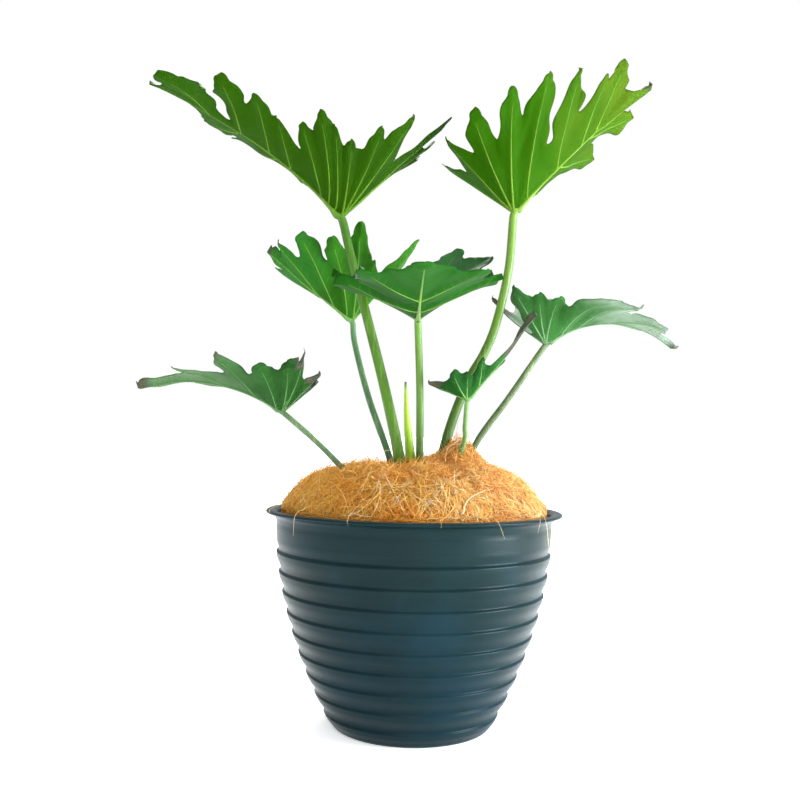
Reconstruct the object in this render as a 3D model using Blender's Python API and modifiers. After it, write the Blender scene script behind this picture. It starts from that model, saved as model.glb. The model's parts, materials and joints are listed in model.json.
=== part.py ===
"""Philodendron selloum in a ribbed plastic pot with a coir mulch, in metres with +Z up.

The origin is the centre of the pot's flat base. +X runs to the right and -Y towards the front.
"""

import math
from collections import namedtuple

import bpy
import numpy as np
from mathutils.bvhtree import BVHTree
from mathutils.geometry import delaunay_2d_cdt

MM = 0.001
GAP = 0.3 * MM

# The pot, a turned plastic shell with stepped bands
POT_HEIGHT = 180 * MM
TURN_STEPS = 48
CROWN_STEPS = 24
WALL_TOP_RADIUS = 116.5 * MM
WALL_BASE_RADIUS = 66 * MM
WALL_BELLY = 12.5 * MM
WALL_THICKNESS = 3 * MM
FLOOR_THICKNESS = 3.5 * MM
FOOT_ROUNDING = 2 * MM
LIP_RADIUS = 125 * MM
LIP_THICKNESS = 3 * MM
LIP_DROP = 6 * MM
BAND_COUNT = 9
BAND_FIRST = 11.5 * MM
BAND_PITCH = 16.7 * MM
BAND_LEDGE = 2.2 * MM
DRAIN_COUNT = 5
DRAIN_RADIUS = 6 * MM
DRAIN_CIRCLE = 38 * MM

# The soil, and the mound of coir that covers it
SOIL_TOP = 146 * MM
COIR_RINGS = 13
COIR_SECTORS = 54
COIR_EDGE = 179 * MM
COIR_DOME = 36 * MM
COIR_SHOULDER = 4.5
COIR_RELIEF = 2.4 * MM
COIR_PEAK = (36 * MM, 4 * MM)
COIR_PEAK_HEIGHT = 22 * MM
COIR_PEAK_SPREAD = 24 * MM

# The crown, the short stem that all the petioles spring from
CROWN_FOOT = 112 * MM
CROWN_TOP = 176 * MM
CROWN_RADIUS = 23 * MM
CROWN_SPOT = (4 * MM, -1 * MM)
SOCKET_TOP = 270 * MM

# Leaf blades, laid out flat in millimetres before they are bent
BLADE_THICKNESS = 0.9
RIB_THICKNESS = 4.0
VEIN_THICKNESS = 1.8
FIELD_STEP = 2.0
EDGE_TOLERANCE = 0.7
EDGE_SPACING = 11.0
INNER_SPACING = 13.0
VEIN_SPACING = 11.0
VEIN_BOW = 0.035
PETIOLE_STEP = 16 * MM
TUBE_SIDES = 10

# How far below the blade's upper face a petiole's end may stop, and the step of that search
SEAT_FAR = 8 * MM
SEAT_NEAR = 1.5 * MM
SEAT_STEP = 0.1 * MM
SEAT_SHARES = (0.0, 0.35, 0.7, 1.0)

# A lobe's tip lies reach millimetres from the end of the petiole, at an angle in degrees from the
# midrib. Its vein leaves the midrib at start, a share of the midrib's length. The lobe is width
# across, and the sinus in front of it comes down to notch millimetres from the petiole.
Lobe = namedtuple("Lobe", "start angle reach width notch")

# stalk lists the points of the petiole's line from the crown to the blade, in millimetres, and
# girth its radius at the crown, in the middle and at the blade. heading is the way the midrib
# points, in degrees from +X. rise and droop hold degrees for the blade's front, left, back and
# right: how steeply it leaves the petiole, and how far it has bent down at the leaf's length.
# waist is how narrow a lobe is at its foot, as a share of its width.
Leaf = namedtuple(
    "Leaf",
    "name stalk girth heading rise droop length tip_width waist left right ruffle seed",
)

LEAVES = (
    Leaf(
        name="top_left",
        stalk=(
            (-9, -2, 168),
            (-12, -2, 216),
            (-26, -3, 280),
            (-47, -7, 358),
            (-58, -9, 397),
            (-66, -10, 428),
        ),
        girth=(5.6, 4.4, 3.4),
        heading=185,
        rise=(46, 57, 45, 44),
        droop=(26, 2, 0, 5),
        length=193,
        tip_width=16,
        waist=0.6,
        left=(
            Lobe(0.73, 9, 179, 50, 112),
            Lobe(0.57, 26, 146, 25, 92),
            Lobe(0.42, 31, 118, 22, 100),
            Lobe(0.3, 32, 93, 12, 80),
            Lobe(0.12, 47, 80, 18, 40),
            Lobe(0.08, 68, 86, 26, 66),
            Lobe(0.04, 80, 73, 16, 62),
            Lobe(0.0, 100, 59, 34, 56),
            Lobe(0.0, 131, 76, 28, 54),
            Lobe(0.0, 151, 96, 28, 66),
        ),
        right=(
            Lobe(0.58, 17, 152, 30, 142),
            Lobe(0.38, 32, 134, 36, 115),
            Lobe(0.22, 52, 118, 36, 90),
            Lobe(0.1, 78, 106, 36, 72),
            Lobe(0.0, 102, 97, 34, 62),
            Lobe(0.0, 124, 95, 32, 60),
            Lobe(0.0, 142, 109, 28, 62),
            Lobe(0.0, 157, 116, 20, 84),
            Lobe(0.0, 171, 129, 24, 92),
        ),
        ruffle=2.0,
        seed=3,
    ),
    Leaf(
        name="top_right",
        stalk=(
            (14, 3, 168),
            (27, 4, 239),
            (44, 4, 288),
            (58, 3, 314),
            (68, 1, 340),
            (78, 0, 387),
            (82, 0, 437),
        ),
        girth=(4.8, 4.0, 3.2),
        heading=-5,
        rise=(47, 32, 40, 57),
        droop=(5, 5, 0, 0),
        length=162,
        tip_width=28,
        waist=0.52,
        left=(
            Lobe(0.55, 13, 136, 26, 122),
            Lobe(0.34, 34, 105, 28, 88),
            Lobe(0.14, 62, 89, 30, 66),
            Lobe(0.0, 95, 89, 32, 56),
            Lobe(0.0, 126, 79, 28, 52),
            Lobe(0.0, 152, 82, 30, 54),
        ),
        right=(
            Lobe(0.6, 20, 145, 30, 136),
            Lobe(0.5, 27, 131, 16, 124),
            Lobe(0.32, 44, 121, 30, 70),
            Lobe(0.1, 67, 113, 38, 56),
            Lobe(0.0, 94, 98, 35, 38),
            Lobe(0.0, 130, 87, 32, 46),
            Lobe(0.0, 163, 82, 24, 60),
        ),
        ruffle=2.0,
        seed=5,
    ),
    Leaf(
        name="middle_left",
        stalk=((-9, 8, 168), (-19, 10, 215), (-41, 24, 275), (-55, 41, 324), (-58, 44, 346)),
        girth=(3.2, 2.8, 2.4),
        heading=190,
        rise=(36, 61, 48, 42),
        droop=(2, 0, 0, 10),
        length=98,
        tip_width=20,
        waist=0.66,
        left=(
            Lobe(0.4, 18, 98, 16, 86),
            Lobe(0.2, 35, 89, 20, 72),
            Lobe(0.06, 60, 76, 28, 58),
            Lobe(0.0, 90, 80, 40, 52),
            Lobe(0.0, 126, 54, 24, 48),
            Lobe(0.0, 171, 84, 36, 46),
        ),
        right=(
            Lobe(0.4, 22, 84, 22, 74),
            Lobe(0.18, 50, 74, 24, 58),
            Lobe(0.0, 86, 73, 28, 48),
            Lobe(0.0, 130, 69, 26, 44),
        ),
        ruffle=1.6,
        seed=7,
    ),
    Leaf(
        name="front",
        stalk=((4, -9, 168), (4, -10, 218), (3, -22, 279), (0, -36, 338)),
        girth=(3.6, 3.1, 2.8),
        heading=271,
        rise=(14, 38, 62, 30),
        droop=(5, 22, 0, 14),
        length=118,
        tip_width=34,
        waist=0.66,
        left=(
            Lobe(0.35, 24, 103, 30, 108),
            Lobe(0.15, 48, 79, 30, 84),
            Lobe(0.0, 82, 71, 30, 62),
            Lobe(0.0, 112, 85, 24, 56),
            Lobe(0.0, 133, 77, 24, 58),
            Lobe(0.0, 158, 57, 20, 48),
        ),
        right=(
            Lobe(0.35, 24, 101, 30, 108),
            Lobe(0.15, 50, 79, 30, 86),
            Lobe(0.0, 80, 71, 28, 60),
            Lobe(0.0, 114, 63, 26, 50),
            Lobe(0.0, 150, 49, 26, 42),
        ),
        ruffle=1.6,
        seed=9,
    ),
    Leaf(
        name="right",
        stalk=((21, -4, 168), (50, 0, 233), (80, 0, 277), (111, 0, 323)),
        girth=(3.1, 2.7, 2.3),
        heading=-10,
        rise=(39, 43, 35, 50),
        droop=(82, 16, 10, 40),
        length=119,
        tip_width=20,
        waist=0.66,
        left=(
            Lobe(0.4, 22, 88, 22, 84),
            Lobe(0.18, 50, 78, 24, 62),
            Lobe(0.0, 86, 67, 26, 46),
            Lobe(0.0, 122, 58, 24, 42),
            Lobe(0.0, 152, 73, 14, 40),
        ),
        right=(
            Lobe(0.5, 16, 102, 20, 102),
            Lobe(0.25, 39, 105, 20, 76),
            Lobe(0.12, 45, 84, 22, 76),
            Lobe(0.0, 74, 47, 26, 43),
            Lobe(0.0, 98, 47, 28, 47),
            Lobe(0.0, 120, 61, 22, 48),
        ),
        ruffle=1.6,
        seed=11,
    ),
    Leaf(
        name="small",
        stalk=((14, -11, 168), (39, -15, 231), (41, -22, 252), (42, -30, 273)),
        girth=(2.3, 2.0, 1.8),
        heading=-10,
        rise=(50, 40, 22, 58),
        droop=(0, 0, 10, 0),
        length=92,
        tip_width=10,
        waist=0.66,
        left=(
            Lobe(0.25, 30, 45, 14, 36),
            Lobe(0.0, 80, 31, 18, 24),
            Lobe(0.0, 130, 31, 18, 22),
        ),
        right=(
            Lobe(0.15, 38, 35, 14, 34),
            Lobe(0.0, 84, 21, 18, 21),
            Lobe(0.0, 121, 26, 18, 21),
            Lobe(0.0, 163, 37, 12, 20),
        ),
        ruffle=1.2,
        seed=13,
    ),
    Leaf(
        name="low_left",
        stalk=((-12, -9, 171), (-52, -20, 207), (-82, -13, 235), (-113, -10, 261)),
        girth=(2.8, 2.4, 2.1),
        heading=180,
        rise=(34, 40, 40, 28),
        droop=(50, 0, 0, 20),
        length=130,
        tip_width=18,
        waist=0.66,
        left=(
            Lobe(0.4, 21, 95, 18, 90),
            Lobe(0.18, 48, 85, 18, 60),
            Lobe(0.04, 72, 54, 26, 47),
            Lobe(0.0, 102, 52, 30, 43),
            Lobe(0.0, 119, 69, 10, 40),
            Lobe(0.0, 154, 51, 15, 30),
        ),
        right=(
            Lobe(0.4, 20, 92, 20, 84),
            Lobe(0.18, 46, 76, 24, 62),
            Lobe(0.0, 80, 63, 26, 46),
            Lobe(0.0, 122, 56, 24, 38),
        ),
        ruffle=1.4,
        seed=15,
    ),
)

NEW_LEAF_STALK = ((2, 8, 168), (-3, 8, 219), (-7, 7, 256), (-9, 6, 289))
NEW_LEAF_GIRTH = (6.4, 5.4, 0.9)

COLOURS = {
    "pot_plastic": ((0.03, 0.065, 0.075), 0.45),
    "soil": ((0.05, 0.035, 0.025), 0.95),
    "coir": ((0.72, 0.4, 0.14), 0.9),
    "crown": ((0.2, 0.25, 0.08), 0.7),
    "petiole": ((0.2, 0.38, 0.06), 0.45),
    "new_leaf": ((0.5, 0.68, 0.1), 0.4),
    "blade": ((0.06, 0.22, 0.04), 0.35),
}


def clear_scene():
    for obj in list(bpy.data.objects):
        bpy.data.objects.remove(obj)


def material(name):
    """The Principled material of one of the plant's finishes."""
    made = bpy.data.materials.get(name)
    if made:
        return made
    colour, roughness = COLOURS[name]
    made = bpy.data.materials.new(name)
    made.use_nodes = True
    shader = made.node_tree.nodes["Principled BSDF"]
    shader.inputs["Base Color"].default_value = (*colour, 1)
    shader.inputs["Roughness"].default_value = roughness
    shader.inputs["Metallic"].default_value = 0
    return made


def new_collection(name):
    made = bpy.data.collections.new(name)
    bpy.context.scene.collection.children.link(made)
    return made


def add_object(name, data, collection, finish=None):
    obj = bpy.data.objects.new(name, data)
    collection.objects.link(obj)
    if finish:
        data.materials.append(material(finish))
    return obj


def hide_helper(obj):
    obj.hide_render = True
    obj.display_type = "WIRE"


def subtract(obj, cutter):
    cut = obj.modifiers.new("cut", "BOOLEAN")
    cut.operation = "DIFFERENCE"
    cut.solver = "EXACT"
    cut.object = cutter


# The pot and the soil


def wall_radius(z):
    """The pot's smooth outer radius at a height, before its bands."""
    share = min(max(z / POT_HEIGHT, 0.0), 1.0)
    straight = WALL_BASE_RADIUS + (WALL_TOP_RADIUS - WALL_BASE_RADIUS) * share
    return straight + WALL_BELLY * 4 * share * (1 - share)


def inner_radius(z):
    return wall_radius(z) - WALL_THICKNESS


def outer_wall():
    """The outer wall from under the lip down to the foot, with a ledge at the top of each band."""
    points = [(WALL_TOP_RADIUS, POT_HEIGHT - LIP_DROP - 3 * MM)]
    for band in reversed(range(BAND_COUNT)):
        z = BAND_FIRST + band * BAND_PITCH
        points.append((wall_radius(z + 2.4 * MM) - 0.4 * BAND_LEDGE, z + 2.4 * MM))
        points.append((wall_radius(z) + 0.6 * BAND_LEDGE, z))
        points.append((wall_radius(z - 4 * MM) + 0.5 * BAND_LEDGE, z - 4 * MM))
    base = wall_radius(0)
    points.append((base - 0.3 * FOOT_ROUNDING, 0.3 * FOOT_ROUNDING))
    points.append((base - FOOT_ROUNDING, 0))
    return points


def pot_profile():
    """From the middle of the inside floor, up the inside, over the lip and down the outside."""
    inside = [
        (inner_radius(z), z) for z in np.linspace(FLOOR_THICKNESS, POT_HEIGHT - LIP_DROP, 9)
    ]
    lip = [
        (WALL_TOP_RADIUS + 1 * MM, POT_HEIGHT - 1 * MM),
        (WALL_TOP_RADIUS + 4 * MM, POT_HEIGHT),
        (LIP_RADIUS - 1 * MM, POT_HEIGHT - 0.5 * MM),
        (LIP_RADIUS, POT_HEIGHT - LIP_THICKNESS),
        (LIP_RADIUS - 2 * MM, POT_HEIGHT - LIP_THICKNESS - 1 * MM),
        (WALL_TOP_RADIUS + 3 * MM, POT_HEIGHT - LIP_THICKNESS - 2 * MM),
    ]
    return [(0, FLOOR_THICKNESS)] + inside + lip + outer_wall() + [(0, 0)]


def turned(name, profile, collection, finish=None, steps=TURN_STEPS):
    """A solid turned about the Z axis from a profile of (radius, height) points."""
    mesh = bpy.data.meshes.new(name)
    points = [(radius, 0, z) for radius, z in profile]
    mesh.from_pydata(points, [(i, i + 1) for i in range(len(points) - 1)], [])
    obj = add_object(name, mesh, collection, finish)
    screw = obj.modifiers.new("turn", "SCREW")
    screw.steps = steps
    screw.render_steps = steps
    screw.use_merge_vertices = True
    screw.merge_threshold = 0.00001
    screw.use_smooth_shade = True
    return obj


def drain_cutters(collection):
    """One mesh with a short rod for each drain hole in the pot's floor."""
    mesh = bpy.data.meshes.new("drain_cutters")
    sides = 12
    points, faces = [], []
    for hole in range(DRAIN_COUNT):
        turn = math.tau * (hole + 0.5) / DRAIN_COUNT
        x, y = DRAIN_CIRCLE * math.cos(turn), DRAIN_CIRCLE * math.sin(turn)
        first = len(points)
        for z in (-FLOOR_THICKNESS, 2 * FLOOR_THICKNESS):
            for side in range(sides):
                a = math.tau * side / sides
                points.append((x + DRAIN_RADIUS * math.cos(a), y + DRAIN_RADIUS * math.sin(a), z))
        for side in range(sides):
            after = (side + 1) % sides
            faces.append((first + side, first + after, first + sides + after, first + sides + side))
        faces.append(tuple(first + side for side in reversed(range(sides))))
        faces.append(tuple(first + sides + side for side in range(sides)))
    mesh.from_pydata(points, [], faces)
    obj = add_object("drain_cutters", mesh, collection)
    hide_helper(obj)
    return obj


def make_pot(collection, cutters):
    pot = turned("pot", pot_profile(), collection, "pot_plastic")
    subtract(pot, drain_cutters(cutters))
    return pot


def make_soil(collection):
    heights = np.linspace(FLOOR_THICKNESS + GAP, SOIL_TOP, 7)
    side = [(inner_radius(z) - 2 * GAP, z) for z in reversed(heights)]
    return turned("soil", [(0, SOIL_TOP)] + side + [(0, FLOOR_THICKNESS + GAP)], collection, "soil")


# The coir mound


def smooth_noise(x, y, seed, octaves=3):
    """A sum of turned sine waves, about -1 to 1, which looks random and repeats each run."""
    rng = np.random.default_rng(seed)
    total, weight = 0.0, 0.0
    for octave in range(octaves):
        scale = 1.9**octave
        for _ in range(4):
            turn, shift = rng.uniform(0, math.tau, 2)
            wave = np.sin(scale * (x * math.cos(turn) + y * math.sin(turn)) + shift)
            total = total + wave / scale
            weight += 1 / scale
    return 2.2 * total / weight


def coir_height(x, y, edge):
    """The height of the coir's upper surface, from its edge against the pot to its domed middle."""
    share = np.clip(np.hypot(x, y) / edge, 0, 1)
    dome = COIR_DOME * (1 - share**COIR_SHOULDER) ** 0.9
    from_peak = np.hypot(x - COIR_PEAK[0], y - COIR_PEAK[1]) / COIR_PEAK_SPREAD
    peak = COIR_PEAK_HEIGHT * np.exp(-(from_peak**2))
    relief = COIR_RELIEF * smooth_noise(x * 150, y * 150, 5) * (1 - share**8)
    return COIR_EDGE + dome + peak + relief


def make_coir(collection):
    """A disc of matted fibre, flat below and mounded above, as rings of points about its middle."""
    edge = inner_radius(POT_HEIGHT) - 3 * GAP
    foot = inner_radius(SOIL_TOP) - 4 * GAP
    rings = [edge * math.sin(0.5 * math.pi * (i + 1) / COIR_RINGS) for i in range(COIR_RINGS)]
    points = [(0, 0, float(coir_height(0, 0, edge)))]
    for radius in rings:
        for sector in range(COIR_SECTORS):
            turn = math.tau * sector / COIR_SECTORS
            x, y = radius * math.cos(turn), radius * math.sin(turn)
            points.append((x, y, float(coir_height(x, y, edge))))
    for sector in range(COIR_SECTORS):
        turn = math.tau * sector / COIR_SECTORS
        points.append((foot * math.cos(turn), foot * math.sin(turn), SOIL_TOP + GAP))
    points.append((0, 0, SOIL_TOP + GAP))
    faces = []
    for sector in range(COIR_SECTORS):
        after = (sector + 1) % COIR_SECTORS
        faces.append((0, 1 + sector, 1 + after))
        for ring in range(COIR_RINGS):
            low = 1 + ring * COIR_SECTORS
            high = low + COIR_SECTORS
            faces.append((low + sector, high + sector, high + after))
            faces.append((low + sector, high + after, low + after))
        last = 1 + COIR_RINGS * COIR_SECTORS
        faces.append((last + sector, len(points) - 1, last + after))
    mesh = bpy.data.meshes.new("coir_mulch")
    mesh.from_pydata(points, [], faces)
    return add_object("coir_mulch", mesh, collection, "coir")


# Petioles


def smooth_line(points, step):
    """Points every step or so along a smooth curve through the given ones, a Catmull-Rom spline."""
    points = np.asarray(points, float)
    ends = np.vstack([2 * points[0] - points[1], points, 2 * points[-1] - points[-2]])
    line = []
    for a, b, c, d in zip(ends, ends[1:], ends[2:], ends[3:]):
        count = max(2, round(np.linalg.norm(c - b) / step))
        for t in np.arange(count) / count:
            line.append(
                0.5 * (2 * b + (c - a) * t + (2 * a - 5 * b + 4 * c - d) * t**2)
                + 0.5 * (3 * b - 3 * c + d - a) * t**3
            )
    return np.array(line + [points[-1]])


def girth_along(girth, share):
    """A radius that falls from the first value through the second to the third."""
    low, middle, high = girth
    base = low + (middle - low) * min(share / 0.3, 1)
    return base + (high - middle) * max((share - 0.3) / 0.7, 0)


def rings_along(line, radii, sides):
    """Rings of points about a line, each turned as little as possible from the one before."""
    ways = np.gradient(line, axis=0)
    ways /= np.linalg.norm(ways, axis=1)[:, None]
    across = np.cross(ways[0], (0.0, 1.0, 0.0))
    rings = []
    for place, way, radius in zip(line, ways, radii):
        across = across - way * (across @ way)
        across /= np.linalg.norm(across)
        other = np.cross(way, across)
        turns = math.tau * np.arange(sides) / sides
        ring = np.outer(np.cos(turns), across) + np.outer(np.sin(turns), other)
        rings.append(place + ring * radius)
    return rings


def tube(name, line, radii, collection, finish=None, sides=TUBE_SIDES):
    """A round rod along a line, with a radius at each point and flat ends."""
    rings = rings_along(line, radii, sides)
    last = (len(rings) - 1) * sides
    faces = [tuple(reversed(range(sides))), tuple(range(last, last + sides))]
    for ring in range(len(rings) - 1):
        for side in range(sides):
            low = ring * sides + side
            after = ring * sides + (side + 1) % sides
            faces.append((low, after, after + sides, low + sides))
    mesh = bpy.data.meshes.new(name)
    mesh.from_pydata(np.vstack(rings).tolist(), [], faces)
    return add_object(name, mesh, collection, finish)


def stalk_line(stalk):
    return smooth_line(np.array(stalk) * MM, PETIOLE_STEP)


def stalk_radii(girth, count):
    return [girth_along(girth, i / (count - 1)) * MM for i in range(count)]


# Leaf blades in their own flat plane, in millimetres


def polar(reach, angle):
    return np.array([reach * math.cos(math.radians(angle)), reach * math.sin(math.radians(angle))])


def lobe_vein(leaf, lobe, side, count=14):
    """Points along a lobe's vein, which leaves the midrib steeply and then turns forward."""
    start = np.array([lobe.start * leaf.length, 0.0])
    tip = polar(lobe.reach, side * lobe.angle)
    along = tip - start
    across = np.array([-along[1], along[0]]) * side * VEIN_BOW
    t = np.linspace(0, 1, count)[:, None]
    return start + along * t + across * 4 * t * (1 - t)


def midrib_of(leaf, count=14):
    return np.column_stack([np.linspace(0, leaf.length, count), np.zeros(count)])


def nearest_on(line, x, y):
    """For each point, its distance to a line, the share along it, and which side of it it is on."""
    best = np.full(x.shape, np.inf)
    share = np.zeros(x.shape)
    hand = np.zeros(x.shape)
    for i, (a, b) in enumerate(zip(line, line[1:])):
        dx, dy = b - a
        t = np.clip(((x - a[0]) * dx + (y - a[1]) * dy) / (dx * dx + dy * dy), 0, 1)
        away = np.hypot(x - a[0] - t * dx, y - a[1] - t * dy)
        closer = away < best
        best = np.where(closer, away, best)
        share = np.where(closer, (i + t) / (len(line) - 1), share)
        hand = np.where(closer, np.sign(dx * (y - a[1]) - dy * (x - a[0])), hand)
    return best, share, hand


def tongue(line, width, x, y, phase, waist=0.8, waves=2.5, depth=0.16):
    """How far inside a lobe each point is: it swells past its middle and ends blunt and wavy."""
    away, share, hand = nearest_on(line, x, y)
    half = width / 2 * (waist + (1.1 - waist) * np.sin(math.pi * share**2))
    half = half * np.clip(1.25 - 0.42 * share**8, 0, 1)
    ripple = np.sin(math.tau * waves * share + phase + 1.9 * hand)
    return half * (1 + depth * ripple) - away


def inside_polygon(corners, x, y):
    """The distance of each point inside a polygon, negative outside."""
    nearest = np.full(x.shape, np.inf)
    inside = np.zeros(x.shape, bool)
    for a, b in zip(corners, np.roll(corners, -1, axis=0)):
        dx, dy = b - a
        t = np.clip(((x - a[0]) * dx + (y - a[1]) * dy) / (dx * dx + dy * dy + 1e-9), 0, 1)
        nearest = np.minimum(nearest, np.hypot(x - a[0] - t * dx, y - a[1] - t * dy))
        crosses = ((a[1] > y) != (b[1] > y)) & (x < dx * (y - a[1]) / (dy or 1e-9) + a[0])
        inside ^= crosses
    return np.where(inside, nearest, -nearest)


def web_outline(leaf):
    """The middle of the blade that joins the lobes: its corners are the bottoms of the sinuses."""
    halves = []
    for side, lobes in ((1, leaf.left), (-1, leaf.right)):
        angles = [0] + [lobe.angle for lobe in lobes]
        sinuses = [
            polar(lobe.notch, side * (before + lobe.angle) / 2)
            for before, lobe in zip(angles, lobes)
        ]
        halves.append(sinuses + [polar(0.6 * lobes[-1].reach, side * lobes[-1].angle)])
    ahead = [np.array([0.85 * leaf.length, 0.0])]
    behind = [np.array([2.0, 0.0])]
    return np.array(behind + halves[0][::-1] + ahead + halves[1])


def blade_field(leaf, x, y):
    """How far inside the lobed blade each point of its plane is, negative outside."""
    rng = np.random.default_rng(leaf.seed)
    fields = [
        inside_polygon(web_outline(leaf), x, y),
        tongue(midrib_of(leaf)[7:], leaf.tip_width, x, y, rng.uniform(0, math.tau), leaf.waist),
    ]
    for side, lobes in ((1, leaf.left), (-1, leaf.right)):
        for lobe in lobes:
            vein = lobe_vein(leaf, lobe, side)
            phase = rng.uniform(0, math.tau)
            fields.append(tongue(vein, lobe.width, x, y, phase, leaf.waist))
    blend = 2.5
    return blend * np.log(sum(np.exp(np.clip(f / blend, -40, 40)) for f in fields))


def outline_of(leaf):
    """The blade's margin as a closed loop of points, read off its field by marching squares."""
    size = 1.25 * leaf.length
    ticks = np.arange(-size, size, FIELD_STEP)
    x, y = np.meshgrid(ticks, ticks, indexing="ij")
    field = blade_field(leaf, x, y)
    inside = field > 0
    links = {}

    def crossing(i, j, k, m):
        share = field[i, j] / (field[i, j] - field[k, m])
        return (
            ticks[i] + share * (ticks[k] - ticks[i]),
            ticks[j] + share * (ticks[m] - ticks[j]),
        )

    mixed = inside[:-1, :-1].astype(int) + inside[1:, :-1] + inside[:-1, 1:] + inside[1:, 1:]
    for i, j in np.argwhere((mixed > 0) & (mixed < 4)):
        ring = ((i, j), (i + 1, j), (i + 1, j + 1), (i, j + 1))
        cuts = [
            (ring[n], ring[(n + 1) % 4])
            for n in range(4)
            if inside[ring[n]] != inside[ring[(n + 1) % 4]]
        ]
        for first, second in zip(cuts[::2], cuts[1::2]):
            a, b = tuple(sorted(first)), tuple(sorted(second))
            links.setdefault(a, []).append(b)
            links.setdefault(b, []).append(a)
    loops, seen = [], set()
    for begin in links:
        loop, here = [], begin
        while here is not None and here not in seen:
            seen.add(here)
            loop.append(crossing(*here[0], *here[1]))
            here = next((n for n in links[here] if n not in seen), None)
        loops.append(loop)
    return np.array(max(loops, key=len))


def thinned(loop, tolerance, spacing):
    """The loop with the points left out that lie near the line between their neighbours."""
    kept = [0]
    for i in range(2, len(loop)):
        a, b = loop[kept[-1]], loop[i]
        between = loop[kept[-1] + 1 : i]
        span = np.linalg.norm(b - a)
        off = np.abs((b[0] - a[0]) * (between[:, 1] - a[1]) - (b[1] - a[1]) * (between[:, 0] - a[0]))
        if span > spacing or (off / max(span, 1e-9)).max() > tolerance:
            kept.append(i - 1)
    return loop[kept]


def veins_of(leaf):
    """The midrib and the lobes' veins, each a line with its thickness at its start and end."""
    veins = [(midrib_of(leaf)[:-1], RIB_THICKNESS, BLADE_THICKNESS)]
    for side, lobes in ((1, leaf.left), (-1, leaf.right)):
        for lobe in lobes:
            thick = RIB_THICKNESS * 0.75 if lobe.start == 0 else VEIN_THICKNESS
            veins.append((lobe_vein(leaf, lobe, side)[:-2], thick, BLADE_THICKNESS))
    return veins


def spaced(line, spacing):
    """Points along a line at an even spacing."""
    steps = np.linalg.norm(np.diff(line, axis=0), axis=1)
    along = np.concatenate([[0], np.cumsum(steps)])
    at = np.linspace(0, along[-1], max(2, round(along[-1] / spacing) + 1))
    return np.column_stack([np.interp(at, along, line[:, 0]), np.interp(at, along, line[:, 1])])


def blade_points(leaf, margin):
    """The flat blade's points, its margin first, and the thickness of the blade at each."""
    points = [tuple(p) for p in margin]
    thick = [BLADE_THICKNESS] * len(points)
    for line, begin, end in veins_of(leaf):
        places = spaced(line, VEIN_SPACING)
        room = blade_field(leaf, places[:, 0], places[:, 1])
        for i, (place, inside) in enumerate(zip(places, room)):
            near = min(math.dist(place, p) for p in points)
            if inside > 2.5 and near > 0.4 * VEIN_SPACING:
                points.append(tuple(place))
                thick.append(begin + (end - begin) * i / (len(places) - 1))
    low, high = margin.min(0), margin.max(0)
    rows = np.arange(low[1], high[1], INNER_SPACING * math.sqrt(0.75))
    fixed = list(points)
    for n, y in enumerate(rows):
        row = np.arange(low[0] + (n % 2) * INNER_SPACING / 2, high[0], INNER_SPACING)
        room = blade_field(leaf, row, np.full(len(row), y))
        for x in row[room > 0.45 * INNER_SPACING]:
            if min(math.dist((x, y), p) for p in fixed) > 0.6 * INNER_SPACING:
                points.append((x, y))
                thick.append(BLADE_THICKNESS)
    return np.array(points), np.array(thick)


# Bending the flat blade into the funnel that it grows as


def around(values, turn):
    """A value at any angle from those at the front, left, back and right."""
    front, left, back, right = values
    mean, twice = (front + left + back + right) / 4, (front - left + back - right) / 4
    ahead, across = (front - back) / 2, (left - right) / 2
    return mean + ahead * np.cos(turn) + across * np.sin(turn) + twice * np.cos(2 * turn)


def bent(leaf, flat):
    """Places flat blade points in space: ribs leave the petiole's end rising, and droop outwards."""
    x, y = flat[:, 0], flat[:, 1]
    reach, turn = np.hypot(x, y), np.arctan2(y, x)
    rise = np.radians(around(leaf.rise, turn))
    curl = np.radians(around(leaf.droop, turn)) / leaf.length
    curl = np.where(np.abs(curl) < 1e-6, 1e-6, curl)
    out = (np.sin(rise) - np.sin(rise - curl * reach)) / curl
    up = (np.cos(rise - curl * reach) - np.cos(rise)) / curl
    room = np.clip(blade_field(leaf, x, y), 0, 30)
    ripple = smooth_noise(x / 9, y / 9, leaf.seed + 20, 2)
    up = up + leaf.ruffle * ripple * np.exp(-room / 9) * np.clip(reach / 40, 0, 1)
    way = turn + math.radians(leaf.heading)
    local = np.column_stack([out * np.cos(way), out * np.sin(way), up])
    return (local + leaf.stalk[-1]) * MM


def make_blade(leaf, collection):
    margin = thinned(outline_of(leaf), EDGE_TOLERANCE, EDGE_SPACING)
    flat, thick = blade_points(leaf, margin)
    edge = [(i, (i + 1) % len(margin)) for i in range(len(margin))]
    made = delaunay_2d_cdt([tuple(p) for p in flat], edge, [], 1, 1e-4)
    points, faces, origins = made[0], made[2], made[3]
    plane = np.array([tuple(p) for p in points])
    thick = np.array([thick[ids[0]] if ids else BLADE_THICKNESS for ids in origins])
    mesh = bpy.data.meshes.new("blade_" + leaf.name)
    mesh.from_pydata([tuple(p) for p in bent(leaf, plane)], [], faces)
    if mesh.polygons[0].normal.z < 0:
        mesh.flip_normals()
    blade = add_object("blade_" + leaf.name, mesh, collection, "blade")
    group = blade.vertex_groups.new(name="thickness")
    for index, value in enumerate(thick):
        group.add([index], value / RIB_THICKNESS, "REPLACE")
    shell = blade.modifiers.new("thickness", "SOLIDIFY")
    shell.thickness = RIB_THICKNESS * MM
    shell.offset = -1
    shell.vertex_group = group.name
    return blade


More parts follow.
